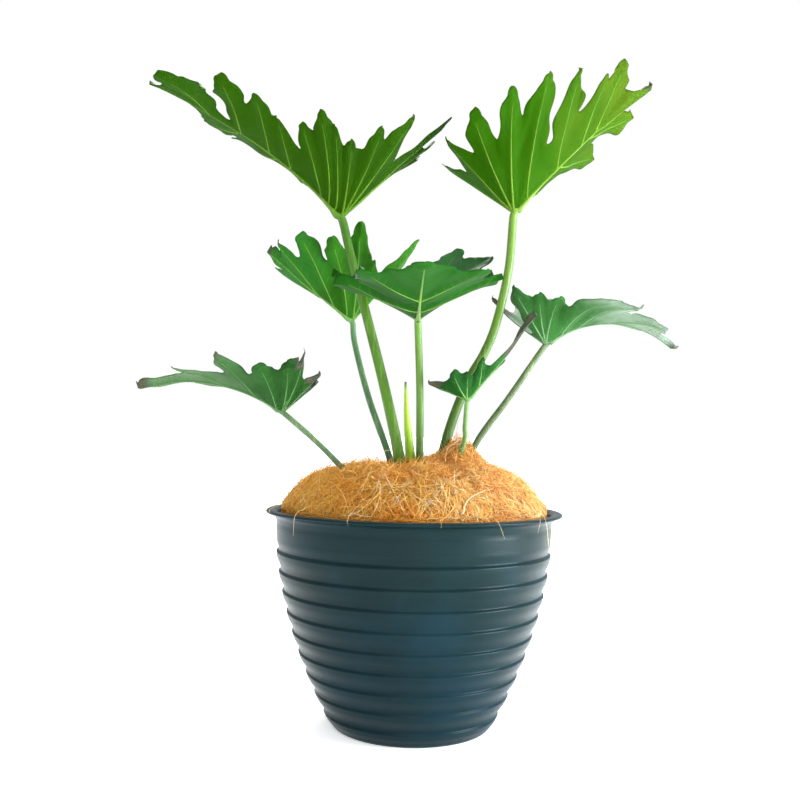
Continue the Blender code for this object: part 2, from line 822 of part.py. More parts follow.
def seated(line, radii, blade):
    """The petiole's line, drawn back along its end until that just clears the blade."""
    surface = BVHTree.FromObject(blade, bpy.context.evaluated_depsgraph_get())
    top = line[-1].copy()
    way = (line[-1] - line[-2]) / np.linalg.norm(line[-1] - line[-2])
    for back in np.arange(SEAT_FAR, SEAT_NEAR, -SEAT_STEP):
        trial = line.copy()
        trial[-1] = top - way * back
        rim = rings_along(trial, radii, TUBE_SIDES)[-1]
        end = np.vstack([trial[-1] + (rim - trial[-1]) * share for share in SEAT_SHARES])
        if min(surface.find_nearest(tuple(point))[3] for point in end) < GAP:
            break
        best = trial
    return best


def make_petiole(leaf, blade, plant, cutters):
    line = stalk_line(leaf.stalk)
    radii = stalk_radii(leaf.girth, len(line))
    line = seated(line, radii, blade)
    tube("petiole_" + leaf.name, line, radii, plant, "petiole")
    return make_socket("socket_" + leaf.name, line, radii, cutters)


def make_new_leaf(plant, cutters):
    """The leaf that hasn't unrolled yet, a spear that tapers to a point."""
    line = stalk_line(NEW_LEAF_STALK)
    radii = stalk_radii(NEW_LEAF_GIRTH, len(line))
    tube("new_leaf", line, radii, plant, "new_leaf")
    return make_socket("socket_new_leaf", line, radii, cutters)


def make_socket(name, line, radii, cutters):
    """A cutter for the hole that a petiole stands in, a little wider and deeper than it."""
    foot = line[0] - (line[1] - line[0]) / np.linalg.norm(line[1] - line[0]) * 2 * GAP
    low = line[:, 2] < SOCKET_TOP
    socket = tube(name, np.vstack([foot, line[low]]), [r + GAP for r in radii[:1] + radii], cutters)
    hide_helper(socket)
    return socket


def crown_profile(spare):
    """The crown's domed side from its top down, or a cutter for its hole if spare isn't zero."""
    radius, top, foot = CROWN_RADIUS + spare, CROWN_TOP + spare, CROWN_FOOT - spare
    dome = [
        (radius * math.sin(a), top - 8 * MM * (1 - math.cos(a)))
        for a in np.radians([30, 55, 75, 90])
    ]
    taper = [(radius, top - 30 * MM), (0.6 * radius, foot + 8 * MM), (0.4 * radius, foot)]
    return [(0, top)] + dome + taper + [(0, foot)]


def make_crown(plant, cutters, sockets, hosts):
    """The crown, with a socket for each petiole. It sits in a plain hole in each of the hosts."""
    crown = turned("crown", crown_profile(0), plant, "crown", CROWN_STEPS)
    hole = turned("crown_hole", crown_profile(GAP), cutters, steps=CROWN_STEPS)
    hide_helper(hole)
    for obj in (crown, hole):
        obj.location = (*CROWN_SPOT, 0)
    for socket in sockets:
        subtract(crown, socket)
    for host in hosts:
        subtract(host, hole)


def main():
    clear_scene()
    plant = new_collection("philodendron_selloum")
    cutters = new_collection("cutters")
    cutters.hide_render = True
    make_pot(plant, cutters)
    soil = make_soil(plant)
    coir = make_coir(plant)
    blades = [make_blade(leaf, plant) for leaf in LEAVES]
    sockets = [make_petiole(leaf, blade, plant, cutters) for leaf, blade in zip(LEAVES, blades)]
    sockets.append(make_new_leaf(plant, cutters))
    make_crown(plant, cutters, sockets, (soil, coir))
    for socket in sockets:
        subtract(coir, socket)


main()
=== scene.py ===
"""The look of the philodendron selloum in its pot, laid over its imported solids.

Metres, with +Z up and -Y towards the camera. Each blade is laid out flat in millimetres and bent
in the same way as its solid, so that the fine piece keeps the solid's form.
"""

import json
import math
from collections import namedtuple

import bpy
import numpy as np
from mathutils import Matrix, Vector
from mathutils.geometry import delaunay_2d_cdt

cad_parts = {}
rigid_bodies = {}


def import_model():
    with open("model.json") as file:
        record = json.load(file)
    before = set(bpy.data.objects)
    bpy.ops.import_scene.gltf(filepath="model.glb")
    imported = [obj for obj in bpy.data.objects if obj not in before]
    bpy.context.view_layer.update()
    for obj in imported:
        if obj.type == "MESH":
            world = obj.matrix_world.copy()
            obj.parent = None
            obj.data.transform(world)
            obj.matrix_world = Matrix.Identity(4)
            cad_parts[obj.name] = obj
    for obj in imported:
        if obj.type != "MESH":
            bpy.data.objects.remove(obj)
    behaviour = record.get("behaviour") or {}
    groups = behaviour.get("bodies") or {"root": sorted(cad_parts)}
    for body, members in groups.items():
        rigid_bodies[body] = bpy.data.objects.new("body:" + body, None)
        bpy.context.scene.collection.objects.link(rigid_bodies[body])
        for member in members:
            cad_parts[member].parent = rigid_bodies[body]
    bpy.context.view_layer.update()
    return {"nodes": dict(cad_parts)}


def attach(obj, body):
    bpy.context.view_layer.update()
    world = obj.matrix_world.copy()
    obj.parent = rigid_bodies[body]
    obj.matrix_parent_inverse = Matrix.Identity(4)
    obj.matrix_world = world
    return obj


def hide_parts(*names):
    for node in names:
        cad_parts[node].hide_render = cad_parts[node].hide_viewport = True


MM = 0.001

# The camera, fitted to the photo: its focal length is in the photo's pixels
PHOTO_WIDTH = 800
FOCAL_PIXELS = 934
SENSOR_WIDTH = 36
CAMERA_PLACE = (-0.0135, -0.8, 0.244)
CAMERA_PITCH = 2.08
CAMERA_ROLL = 1.0

# The pot, with the sizes of its solid
POT_HEIGHT = 180 * MM
WALL_TOP_RADIUS = 116.5 * MM
WALL_BASE_RADIUS = 66 * MM
WALL_BELLY = 12.5 * MM
WALL_THICKNESS = 3 * MM
FLOOR_THICKNESS = 3.5 * MM
LIP_RADIUS = 125 * MM
BAND_COUNT = 9
BAND_FIRST = 11.5 * MM
BAND_PITCH = 16.7 * MM
BAND_OUT = 1.32 * MM
BAND_IN = 0.88 * MM
LEDGE_HEIGHT = 1.9 * MM
CLIMB_START = 3 * MM
CLIMB_END = 13.5 * MM
LAST_BAND_FULL = 2.5 * MM
LAST_BAND_GONE = 12 * MM
FIRST_BAND_FULL = 8 * MM
FOOT_ROUND = 2.6 * MM
FOOT_INSET = 1.6 * MM
BASE_INSET = 2.4 * MM
DRAIN_COUNT = 5
DRAIN_RADIUS = 6 * MM
DRAIN_CIRCLE = 38 * MM
DRAIN_SIDES = 32
POT_STEPS = 144

# The coir mound, with the sizes of its solid
SOIL_TOP = 146 * MM
COIR_EDGE = 179 * MM
COIR_DOME = 36 * MM
COIR_SHOULDER = 4.5
COIR_RELIEF = 2.4 * MM
COIR_TUFTS = 150
COIR_PEAK = (36 * MM, 4 * MM)
COIR_PEAK_HEIGHT = 22 * MM
COIR_PEAK_SPREAD = 24 * MM
COIR_ROOM = WALL_TOP_RADIUS - WALL_THICKNESS - 1 * MM

# The dense bed under the loose fibres, and how far below the mound's surface it lies
BED_DROP = 2.6 * MM
BED_RINGS = 60
BED_SECTORS = 200
BED_TUFTS = 520

# The stalks and the rolled leaf. A stalk is thicker by a share at its foot, which fades out
STALK_STEP = 2.5 * MM
STALK_SIDES = 24
SPEAR_SIDES = 32
FOOT_FLARE = 0.35
FOOT_FADE = 14 * MM

# Blades, in flat millimetres
FIELD_STEP = 1.6
FIELD_BLEND = 2.5
EDGE_TOLERANCE = 0.12
EDGE_SPACING = 2.6
INNER_SPACING = 2.7
VEIN_SPACING = 2.4
VEIN_BOW = 0.035
SIDE_VEIN_SPACING = 9.0
LAMINA = 0.6
MARGIN = 0.3
MARGIN_SLOPE = 2.5
RUFFLE_SIZE = 9
RUFFLE_START = 40
PLEAT = 1.6
RIB_STEP = 2.5
RIB_SIDES = 8

# The widest half widths of the veins on a leaf of this length, and those at their ends
VEIN_LEAF_LENGTH = 160
MIDRIB_BEGIN = 1.6
MIDRIB_END = 0.4
VEIN_BEGIN = 1.1
BRANCH_BEGIN = 0.8
VEIN_END = 0.3

# How many points the field and the raised veins take along a vein
FIELD_POINTS = 14
VEIN_POINTS = 30

# A lobe swells past its middle and ends blunt, as shares of its half width, and its margin waves
LOBE_SWELL = 1.1
LOBE_END = 1.25
LOBE_END_FALL = 0.42
LOBE_WAVES = 2.5
LOBE_WAVE_DEPTH = 0.16
LOBE_WAVE_SHIFT = 1.9

# A dried tip turns up on both sides of its vein, by this many radians
WITHER_TURN = 1.15

# A lobe's tip lies reach millimetres from the end of the petiole, at an angle in degrees from the
# midrib. Its vein leaves the midrib at start, a share of the midrib's length. The lobe is width
# across, and the sinus in front of it comes down to notch millimetres from the petiole.
Lobe = namedtuple("Lobe", "start angle reach width notch")

# stalk lists the points of the petiole's line from the crown to the blade, in millimetres, and
# girth its radius at the crown, in the middle and at the blade. heading is the way the midrib
# points, in degrees from +X. rise and droop hold degrees for the blade's front, left, back and
# right: how steeply it leaves the petiole, and how far it has bent down at the leaf's length.
# waist is how narrow a lobe is at its foot, as a share of its width.
Leaf = namedtuple(
    "Leaf",
    "name stalk girth heading rise droop length tip_width waist left right ruffle seed",
)

LEAVES = (
    Leaf(
        name="top_left",
        stalk=(
            (-9, -2, 168), (-12, -2, 216), (-26, -3, 280), (-47, -7, 358), (-58, -9, 397),
            (-66, -10, 428),
        ),
        girth=(5.6, 4.4, 3.4), heading=185,
        rise=(46, 57, 45, 44), droop=(26, 2, 0, 5),
        length=193, tip_width=16, waist=0.6,
        left=(
            Lobe(0.73, 9, 179, 50, 112), Lobe(0.57, 26, 146, 25, 92), Lobe(0.42, 31, 118, 22, 100),
            Lobe(0.3, 32, 93, 12, 80), Lobe(0.12, 47, 80, 18, 40), Lobe(0.08, 68, 86, 26, 66),
            Lobe(0.04, 80, 73, 16, 62), Lobe(0.0, 100, 59, 34, 56), Lobe(0.0, 131, 76, 28, 54),
            Lobe(0.0, 151, 96, 28, 66),
        ),
        right=(
            Lobe(0.58, 17, 152, 30, 142), Lobe(0.38, 32, 134, 36, 115), Lobe(0.22, 52, 118, 36, 90),
            Lobe(0.1, 78, 106, 36, 72), Lobe(0.0, 102, 97, 34, 62), Lobe(0.0, 124, 95, 32, 60),
            Lobe(0.0, 142, 109, 28, 62), Lobe(0.0, 157, 116, 20, 84), Lobe(0.0, 171, 129, 24, 92),
        ),
        ruffle=2.0, seed=3,
    ),
    Leaf(
        name="top_right",
        stalk=(
            (14, 3, 168), (27, 4, 239), (44, 4, 288), (58, 3, 314), (68, 1, 340), (78, 0, 387),
            (82, 0, 437),
        ),
        girth=(4.8, 4.0, 3.2), heading=-5,
        rise=(47, 32, 40, 57), droop=(5, 5, 0, 0),
        length=162, tip_width=28, waist=0.52,
        left=(
            Lobe(0.55, 13, 136, 26, 122), Lobe(0.34, 34, 105, 28, 88), Lobe(0.14, 62, 89, 30, 66),
            Lobe(0.0, 95, 89, 32, 56), Lobe(0.0, 126, 79, 28, 52), Lobe(0.0, 152, 82, 30, 54),
        ),
        right=(
            Lobe(0.6, 20, 145, 30, 136), Lobe(0.5, 27, 131, 16, 124), Lobe(0.32, 44, 121, 30, 70),
            Lobe(0.1, 67, 113, 38, 56), Lobe(0.0, 94, 98, 35, 38), Lobe(0.0, 130, 87, 32, 46),
            Lobe(0.0, 163, 82, 24, 60),
        ),
        ruffle=2.0, seed=5,
    ),
    Leaf(
        name="middle_left",
        stalk=((-9, 8, 168), (-19, 10, 215), (-41, 24, 275), (-55, 41, 324), (-58, 44, 346)),
        girth=(3.2, 2.8, 2.4), heading=190,
        rise=(36, 61, 48, 42), droop=(2, 0, 0, 10),
        length=98, tip_width=20, waist=0.66,
        left=(
            Lobe(0.4, 18, 98, 16, 86), Lobe(0.2, 35, 89, 20, 72), Lobe(0.06, 60, 76, 28, 58),
            Lobe(0.0, 90, 80, 40, 52), Lobe(0.0, 126, 54, 24, 48), Lobe(0.0, 171, 84, 36, 46),
        ),
        right=(
            Lobe(0.4, 22, 84, 22, 74), Lobe(0.18, 50, 74, 24, 58), Lobe(0.0, 86, 73, 28, 48),
            Lobe(0.0, 130, 69, 26, 44),
        ),
        ruffle=1.6, seed=7,
    ),
    Leaf(
        name="front",
        stalk=((4, -9, 168), (4, -10, 218), (3, -22, 279), (0, -36, 338)),
        girth=(3.6, 3.1, 2.8), heading=271,
        rise=(14, 38, 62, 30), droop=(5, 22, 0, 14),
        length=118, tip_width=34, waist=0.66,
        left=(
            Lobe(0.35, 24, 103, 30, 108), Lobe(0.15, 48, 79, 30, 84), Lobe(0.0, 82, 71, 30, 62),
            Lobe(0.0, 112, 85, 24, 56), Lobe(0.0, 133, 77, 24, 58), Lobe(0.0, 158, 57, 20, 48),
        ),
        right=(
            Lobe(0.35, 24, 101, 30, 108), Lobe(0.15, 50, 79, 30, 86), Lobe(0.0, 80, 71, 28, 60),
            Lobe(0.0, 114, 63, 26, 50), Lobe(0.0, 150, 49, 26, 42),
        ),
        ruffle=1.6, seed=9,
    ),
    Leaf(
        name="right",
        stalk=((21, -4, 168), (50, 0, 233), (80, 0, 277), (111, 0, 323)),
        girth=(3.1, 2.7, 2.3), heading=-10,
        rise=(39, 43, 35, 50), droop=(82, 16, 10, 40),
        length=119, tip_width=20, waist=0.66,
        left=(
            Lobe(0.4, 22, 88, 22, 84), Lobe(0.18, 50, 78, 24, 62), Lobe(0.0, 86, 67, 26, 46),
            Lobe(0.0, 122, 58, 24, 42), Lobe(0.0, 152, 73, 14, 40),
        ),
        right=(
            Lobe(0.5, 16, 102, 20, 102), Lobe(0.25, 39, 105, 20, 76), Lobe(0.12, 45, 84, 22, 76),
            Lobe(0.0, 74, 47, 26, 43), Lobe(0.0, 98, 47, 28, 47), Lobe(0.0, 120, 61, 22, 48),
        ),
        ruffle=1.6, seed=11,
    ),
    Leaf(
        name="small",
        stalk=((14, -11, 168), (39, -15, 231), (41, -22, 252), (42, -30, 273)),
        girth=(2.3, 2.0, 1.8), heading=-10,
        rise=(50, 40, 22, 58), droop=(0, 0, 10, 0),
        length=92, tip_width=10, waist=0.66,
        left=(
            Lobe(0.25, 30, 45, 14, 36), Lobe(0.0, 80, 31, 18, 24), Lobe(0.0, 130, 31, 18, 22),
        ),
        right=(
            Lobe(0.15, 38, 35, 14, 34), Lobe(0.0, 84, 21, 18, 21), Lobe(0.0, 121, 26, 18, 21),
            Lobe(0.0, 163, 37, 12, 20),
        ),
        ruffle=1.2, seed=13,
    ),
    Leaf(
        name="low_left",
        stalk=((-12, -9, 171), (-52, -20, 207), (-82, -13, 235), (-113, -10, 261)),
        girth=(2.8, 2.4, 2.1), heading=180,
        rise=(34, 40, 40, 28), droop=(50, 0, 0, 20),
        length=130, tip_width=18, waist=0.66,
        left=(
            Lobe(0.4, 21, 95, 18, 90), Lobe(0.18, 48, 85, 18, 60), Lobe(0.04, 72, 54, 26, 47),
            Lobe(0.0, 102, 52, 30, 43), Lobe(0.0, 119, 69, 10, 40), Lobe(0.0, 154, 51, 15, 30),
        ),
        right=(
            Lobe(0.4, 20, 92, 20, 84), Lobe(0.18, 46, 76, 24, 62), Lobe(0.0, 80, 63, 26, 46),
            Lobe(0.0, 122, 56, 24, 38),
        ),
        ruffle=1.4, seed=15,
    ),
)

NEW_LEAF_STALK = ((2, 8, 168), (-3, 8, 219), (-7, 7, 256), (-9, 6, 289))
NEW_LEAF_GIRTH = (6.4, 5.4, 0.9)


def tone(red, green, blue):
    """A colour given in screen values from 0 to 255, as linear light with an alpha of 1."""
    shares = [value / 255 for value in (red, green, blue)]
    light = [s / 12.92 if s <= 0.04045 else ((s + 0.055) / 1.055) ** 2.4 for s in shares]
    return (*light, 1.0)


# Each leaf's colours: the upper face, the under face, the same towards the tip, the veins, the
# petiole's low and high end, how much light passes through the blade, and that light's colour
Look = namedtuple("Look", "top under tip vein low high glow through")

LOOKS = {
    "top_left": Look(
        tone(40, 88, 4), tone(32, 64, 0), tone(30, 64, 0), tone(84, 126, 8),
        tone(80, 126, 0), tone(52, 98, 0), 0.3, tone(140, 196, 0),
    ),
    "top_right": Look(
        tone(40, 88, 4), tone(38, 82, 0), tone(76, 98, 18), tone(108, 144, 34),
        tone(20, 60, 4), tone(106, 142, 52), 0.3, tone(140, 196, 0),
    ),
    "middle_left": Look(
        tone(20, 80, 26), tone(44, 100, 20), tone(40, 104, 36), tone(104, 156, 60),
        tone(26, 66, 38), tone(90, 130, 84), 0.16, tone(90, 160, 0),
    ),
    "front": Look(
        tone(20, 72, 22), tone(22, 74, 12), tone(30, 86, 22), tone(104, 150, 52),
        tone(46, 80, 10), tone(94, 134, 46), 0.12, tone(80, 160, 0),
    ),
    "right": Look(
        tone(30, 86, 30), tone(46, 95, 42), tone(150, 168, 152), tone(108, 148, 102),
        tone(62, 80, 38), tone(90, 108, 72), 0.16, tone(110, 180, 50),
    ),
    "small": Look(
        tone(24, 72, 26), tone(29, 76, 28), tone(50, 90, 46), tone(96, 142, 74),
        tone(70, 98, 40), tone(104, 142, 80), 0.14, tone(80, 160, 10),
    ),
    "low_left": Look(
        tone(30, 80, 30), tone(35, 74, 29), tone(96, 124, 88), tone(80, 126, 68),
        tone(48, 68, 42), tone(92, 122, 80), 0.14, tone(90, 170, 20),
    ),
}

# Lobes whose tips have dried, as the share along the lobe where the drying begins: M is the
# midrib's own lobe, and L0 the first lobe on the left
DRY = {
    "top_left": {},
    "top_right": {"M": 0.95},
    "middle_left": {"M": 0.95, "L0": 0.98},
    "front": {"R4": 0.95, "L5": 0.95, "L2": 0.97},
    "right": {"M": 0.93, "R1": 0.97, "L4": 0.62},
    "small": {"M": 0.5, "L2": 0.7, "R3": 0.7},
    "low_left": {"M": 0.9, "L1": 0.95, "R0": 0.93, "L4": 0.7, "L5": 0.7, "R3": 0.8},
}

# Lobes that curl: how far the tip lifts off the blade's sweep, and how far one side of the tip
# lifts over the other, in millimetres
CURL = {
    "top_left": {
        "L1": (-2, 3), "L3": (2, -3), "L8": (0, 1), "L9": (0, 1),
        "R5": (-6, 4), "R6": (-8, 4), "R7": (-5, 1), "R8": (-1, 0),
    },
    "top_right": {
        "M": (-6, 3), "R0": (2, -2), "R1": (0, 1), "R2": (2, 4), "R3": (0, 1), "R4": (0, 1),
        "R5": (0, 2), "L0": (-3, -6), "L1": (-4, -5),
    },
    "middle_left": {"M": (4, 6), "L1": (2, 5), "L5": (1, 1)},
    "front": {"R2": (5, 5), "R1": (3, 5), "R3": (3, 4)},
    "right": {"M": (-3, 3), "R0": (3, -3), "L4": (4, 3)},
    "small": {"M": (3, 9)},
    "low_left": {"M": (-3, 5), "R0": (3, 4), "L4": (4, 6)},
}


# Materials


class Tree:
    """The nodes of a material or the world, with a short call for each kind that is used here."""

    def __init__(self, owner, shader="Principled BSDF", output="Material Output"):
        owner.use_nodes = True
        self.owner = owner
        self.tree = owner.node_tree
        self.shader = self.tree.nodes[shader]
        self.output = self.tree.nodes[output]

    def node(self, kind):
        return self.tree.nodes.new("ShaderNode" + kind)

    def join(self, source, target):
        self.tree.links.new(source, target)

    def fill(self, socket, value):
        if isinstance(value, bpy.types.NodeSocket):
            self.join(value, socket)
        else:
            socket.default_value = value

    def value(self, name):
        """A number that the mesh holds at each point."""
        node = self.node("Attribute")
        node.attribute_name = name
        return node.outputs["Fac"]

    def place(self, stretch=(1, 1, 1)):
        """The point's place in metres, stretched along each axis."""
        mapping = self.node("Mapping")
        mapping.inputs["Scale"].default_value = stretch
        self.join(self.node("TexCoord").outputs["Object"], mapping.inputs["Vector"])
        return mapping.outputs["Vector"]

    def axis(self, name):
        """The point's place along one axis, in metres."""
        node = self.node("SeparateXYZ")
        self.join(self.place(), node.inputs[0])
        return node.outputs[name]

    def noise(self, where, scale, detail=3, roughness=0.55):
        node = self.node("TexNoise")
        node.inputs["Scale"].default_value = scale
        node.inputs["Detail"].default_value = detail
        node.inputs["Roughness"].default_value = roughness
        self.join(where, node.inputs["Vector"])
        return node.outputs["Fac"]

    def maths(self, operation, first, second=0.0):
        node = self.node("Math")
        node.operation = operation
        self.fill(node.inputs[0], first)
        self.fill(node.inputs[1], second)
        return node.outputs[0]

    def plus(self, first, second):
        return self.maths("ADD", first, second)

    def times(self, first, second):
        return self.maths("MULTIPLY", first, second)

    def spread(self, source, low, high, start=0.0, end=1.0, smooth=True):
        """Maps low..high to start..end, eased at both ends."""
        node = self.node("MapRange")
        node.interpolation_type = "SMOOTHSTEP" if smooth else "LINEAR"
        self.fill(node.inputs[0], source)
        for index, amount in enumerate((low, high, start, end), 1):
            self.fill(node.inputs[index], amount)
        return node.outputs[0]

    def ramp(self, source, stops):
        node = self.node("ValToRGB")
        points = node.color_ramp.elements
        while len(points) < len(stops):
            points.new(1.0)
        for point, (at, colour) in zip(points, stops):
            point.position = at
            point.color = colour
        self.join(source, node.inputs["Fac"])
        return node.outputs["Color"]

    def mix(self, share, first, second, blend="MIX"):
        node = self.node("Mix")
        node.data_type = "RGBA"
        node.blend_type = blend
        self.fill(node.inputs[0], share)
        self.fill(node.inputs[6], first)
        self.fill(node.inputs[7], second)
        return node.outputs[2]

    def bump(self, height, strength, distance):
        node = self.node("Bump")
        node.inputs["Strength"].default_value = strength
        node.inputs["Distance"].default_value = distance
        self.join(height, node.inputs["Height"])
        self.join(node.outputs["Normal"], self.shader.inputs["Normal"])
        return node.outputs["Normal"]

    def surface(self, colour, roughness=0.5, **sockets):
        self.fill(self.shader.inputs["Base Color"], colour)
        self.fill(self.shader.inputs["Roughness"], roughness)
        for name, amount in sockets.items():
            self.shader.inputs[name.replace("_", " ")].default_value = amount
        return self.owner

    def let_through(self, share, colour, normal=None):
        """Mixes in the light that passes through something thin."""
        through = self.node("BsdfTranslucent")
        self.fill(through.inputs["Color"], colour)
        if normal is not None:
            self.join(normal, through.inputs["Normal"])
        blend = self.node("MixShader")
        blend.inputs["Fac"].default_value = share
        self.join(self.shader.outputs[0], blend.inputs[1])
        self.join(through.outputs[0], blend.inputs[2])
        self.join(blend.outputs[0], self.output.inputs["Surface"])
        return self.owner


def new_skin(name):
    return Tree(bpy.data.materials.new(name))


def scaled(colour, share, more=0.0):
    """A colour that is darker or lighter by a share."""
    return tuple(min(share * c + more, 1) for c in colour[:3]) + (1.0,)


# The two colours of a dried leaf
BROWN = tone(86, 80, 62)
WITHERED = tone(66, 72, 62)


def vein_masks(t):
    """The main vein, the side veins and the dried tip of a blade, each from 0 to 1."""
    off = t.maths("ABSOLUTE", t.value("off"))
    width = t.value("width")
    main = t.spread(t.maths("DIVIDE", off, width), 0.5, 1.5, 1, 0)
    wander = t.spread(t.noise(t.place(), 60, 2), 0.3, 0.7, -1.6, 1.6, smooth=False)
    along = t.plus(t.value("along"), wander)
    forward = t.maths("SUBTRACT", along, t.times(off, 0.8))
    phase = t.maths("DIVIDE", forward, SIDE_VEIN_SPACING)
    side = t.spread(t.maths("PINGPONG", phase, 0.5), 0.0, 0.07, 1, 0)
    side = t.times(side, t.spread(t.value("gap"), 3, 8))
    side = t.times(side, t.spread(off, 14, 4, 0, 1))
    side = t.times(side, t.maths("SUBTRACT", 1, main))
    return main, side, t.value("dry")


def leaf_skin(name, look, upper):
    """One face of a blade: mottled green, paler along the veins, lighter beside them partly with
    painted light, darker with painted shade along its margin, and dried at some tips.
    """
    t = new_skin(name)
    base = look.top if upper else look.under
    main, side, dry = vein_masks(t)
    cloud = t.noise(t.place(), 22, 4)
    fine = t.noise(t.place(), 190, 3)
    dark = scaled(base, 0.55)
    light = scaled(base, 1.4, 0.003)
    colour = t.ramp(cloud, ((0.3, dark), (0.5, base), (0.72, light)))
    ahead = t.plus(t.value("ahead"), t.spread(cloud, 0.3, 0.7, -0.15, 0.15))
    colour = t.mix(t.spread(ahead, 0.2, 0.8, 0, 0.92), colour, look.tip)
    colour = t.mix(t.spread(fine, 0.35, 0.75, 0, 0.15), colour, light)
    # Lighter beside the veins: partly the blade's own paler colour there, partly painted light
    beside = t.spread(t.maths("ABSOLUTE", t.value("off")), 0.5, 7, 0.45, 0)
    colour = t.mix(beside, colour, light)
    # Painted shade: darker along the blade's margin
    colour = t.mix(t.spread(t.value("room"), 0, 1.6, 0.5, 0), colour, dark)
    colour = t.mix(t.times(side, 0.18), colour, look.vein)
    colour = t.mix(t.times(main, 0.5 if upper else 0.7), colour, look.vein)
    dried = t.mix(t.spread(fine, 0.4, 0.7), WITHERED, BROWN)
    colour = t.mix(t.times(dry, t.spread(fine, 0.2, 0.6, 0.7, 1)), colour, dried)
    height = t.plus(t.times(side, 0.5), t.times(fine, 0.1))
    normal = t.bump(height, 0.4, (-0.3 if upper else 0.3) * MM)
    gloss = t.spread(cloud, 0.3, 0.7, 0.32, 0.45) if upper else t.spread(cloud, 0.3, 0.7, 0.5, 0.65)
    t.surface(colour, gloss, Specular_IOR_Level=0.3 if upper else 0.03)
    shine = t.mix(t.times(main, 0.5), look.through, look.vein)
    shine = t.mix(dry, shine, WITHERED)
    shine = t.mix(t.spread(cloud, 0.3, 0.7, 0, 0.35), shine, base)
    return t.let_through(look.glow, shine, normal)


def rib_skin(name, look):
    """The raised veins: pale where they begin and nearer the blade's colour at their ends."""
    t = new_skin(name)
    streak = t.noise(t.place(), 70, 3)
    colour = t.ramp(streak, ((0.3, scaled(look.vein, 0.75)), (0.65, look.vein)))
    colour = t.mix(t.spread(t.value("share"), 0.3, 1.0, 0, 0.5), colour, look.under)
    colour = t.mix(t.value("dry"), colour, WITHERED)
    t.surface(colour, 0.5, Specular_IOR_Level=0.2)
    return t.let_through(0.5 * look.glow, look.through)


def stalk_skin(name, look):
    """A petiole: streaked lengthwise, with one colour at the crown and another at the blade, and
    darker with painted shade towards its outline, where its surface turns away from the eye.
    """
    t = new_skin(name)
    streak = t.noise(t.place((1, 1, 0.06)), 300, 2)
    blotch = t.noise(t.place((1, 1, 0.35)), 60, 4)
    colour = t.mix(t.value("share"), look.low, look.high)
    colour = t.mix(t.spread(t.value("share"), 0.97, 1.06, 0, 0.8), colour, look.vein)
    dark = t.mix(1.0, colour, tone(150, 160, 130), "MULTIPLY")
    light = t.mix(0.35, colour, tone(214, 232, 150))
    colour = t.mix(t.spread(streak, 0.5, 0.75, 0, 0.35), colour, light)
    colour = t.mix(t.spread(blotch, 0.5, 0.8, 0, 0.7), colour, dark)
    # Painted shade: darker towards the outline, where the surface turns away from the eye
    facing = t.node("LayerWeight").outputs["Facing"]
    colour = t.mix(t.spread(facing, 0.25, 0.85, 0, 0.6), colour, dark)
    foot = t.spread(t.value("share"), 0.0, 0.2, 0.4, 0)
    colour = t.mix(foot, colour, tone(150, 132, 70))
    t.bump(streak, 0.12, 0.1 * MM)
    return t.surface(colour, t.spread(blotch, 0.3, 0.7, 0.32, 0.46), Specular_IOR_Level=0.3)


def spear_skin():
    """The rolled leaf: lime green, streaked lengthwise, with a dry point."""
    t = new_skin("rolled_leaf")
    streak = t.noise(t.place((1, 1, 0.08)), 380, 3)
    colour = t.ramp(
        t.value("share"),
        ((0.0, tone(160, 184, 30)), (0.35, tone(140, 190, 16)), (0.8, tone(178, 208, 56))),
    )
    colour = t.mix(t.spread(streak, 0.45, 0.75, 0, 0.5), colour, tone(206, 232, 110))
    colour = t.mix(t.spread(t.value("share"), 0.93, 1.0), colour, BROWN)
    t.bump(streak, 0.3, 0.2 * MM)
    t.surface(colour, 0.38)
    return t.let_through(0.25, tone(190, 230, 40))


def pot_skin():
    """Dark blue-green plastic with fine scuffs along the way it was turned."""
    t = new_skin("pot_plastic_fine")
    turned = t.noise(t.place((0.35, 0.35, 9)), 60, 4)
    cloud = t.noise(t.place(), 16, 4)
    scuff = t.noise(t.place((1, 1, 3)), 320, 4, 0.7)
    colour = t.ramp(
        cloud, ((0.28, tone(9, 30, 31)), (0.5, tone(11, 35, 38)), (0.72, tone(14, 42, 52)))
    )
    # Painted light: a little lighter and bluer towards the bottom, where the floor lights the pot
    colour = t.mix(t.spread(t.axis("Z"), 0.15, 0.03, 0, 0.4), colour, tone(10, 36, 46))
    colour = t.mix(t.spread(scuff, 0.66, 0.85, 0, 0.15), colour, tone(50, 86, 96))
    rough = t.plus(t.spread(cloud, 0.3, 0.7, 0.28, 0.38), t.spread(scuff, 0.5, 0.8, 0, 0.2))
    height = t.plus(t.times(turned, 0.8), t.times(scuff, 0.2))
    t.bump(height, 0.35, 0.35 * MM)
    return t.surface(colour, rough, Specular_IOR_Level=0.1)


# The shades of the fibres, from the darkest to the palest
FIBRE_STOPS = (
    (0.0, tone(96, 56, 22)),
    (0.14, tone(190, 116, 34)),
    (0.38, tone(240, 176, 66)),
    (0.62, tone(250, 200, 98)),
    (0.86, tone(254, 230, 150)),
    (1.0, tone(255, 250, 220)),
)


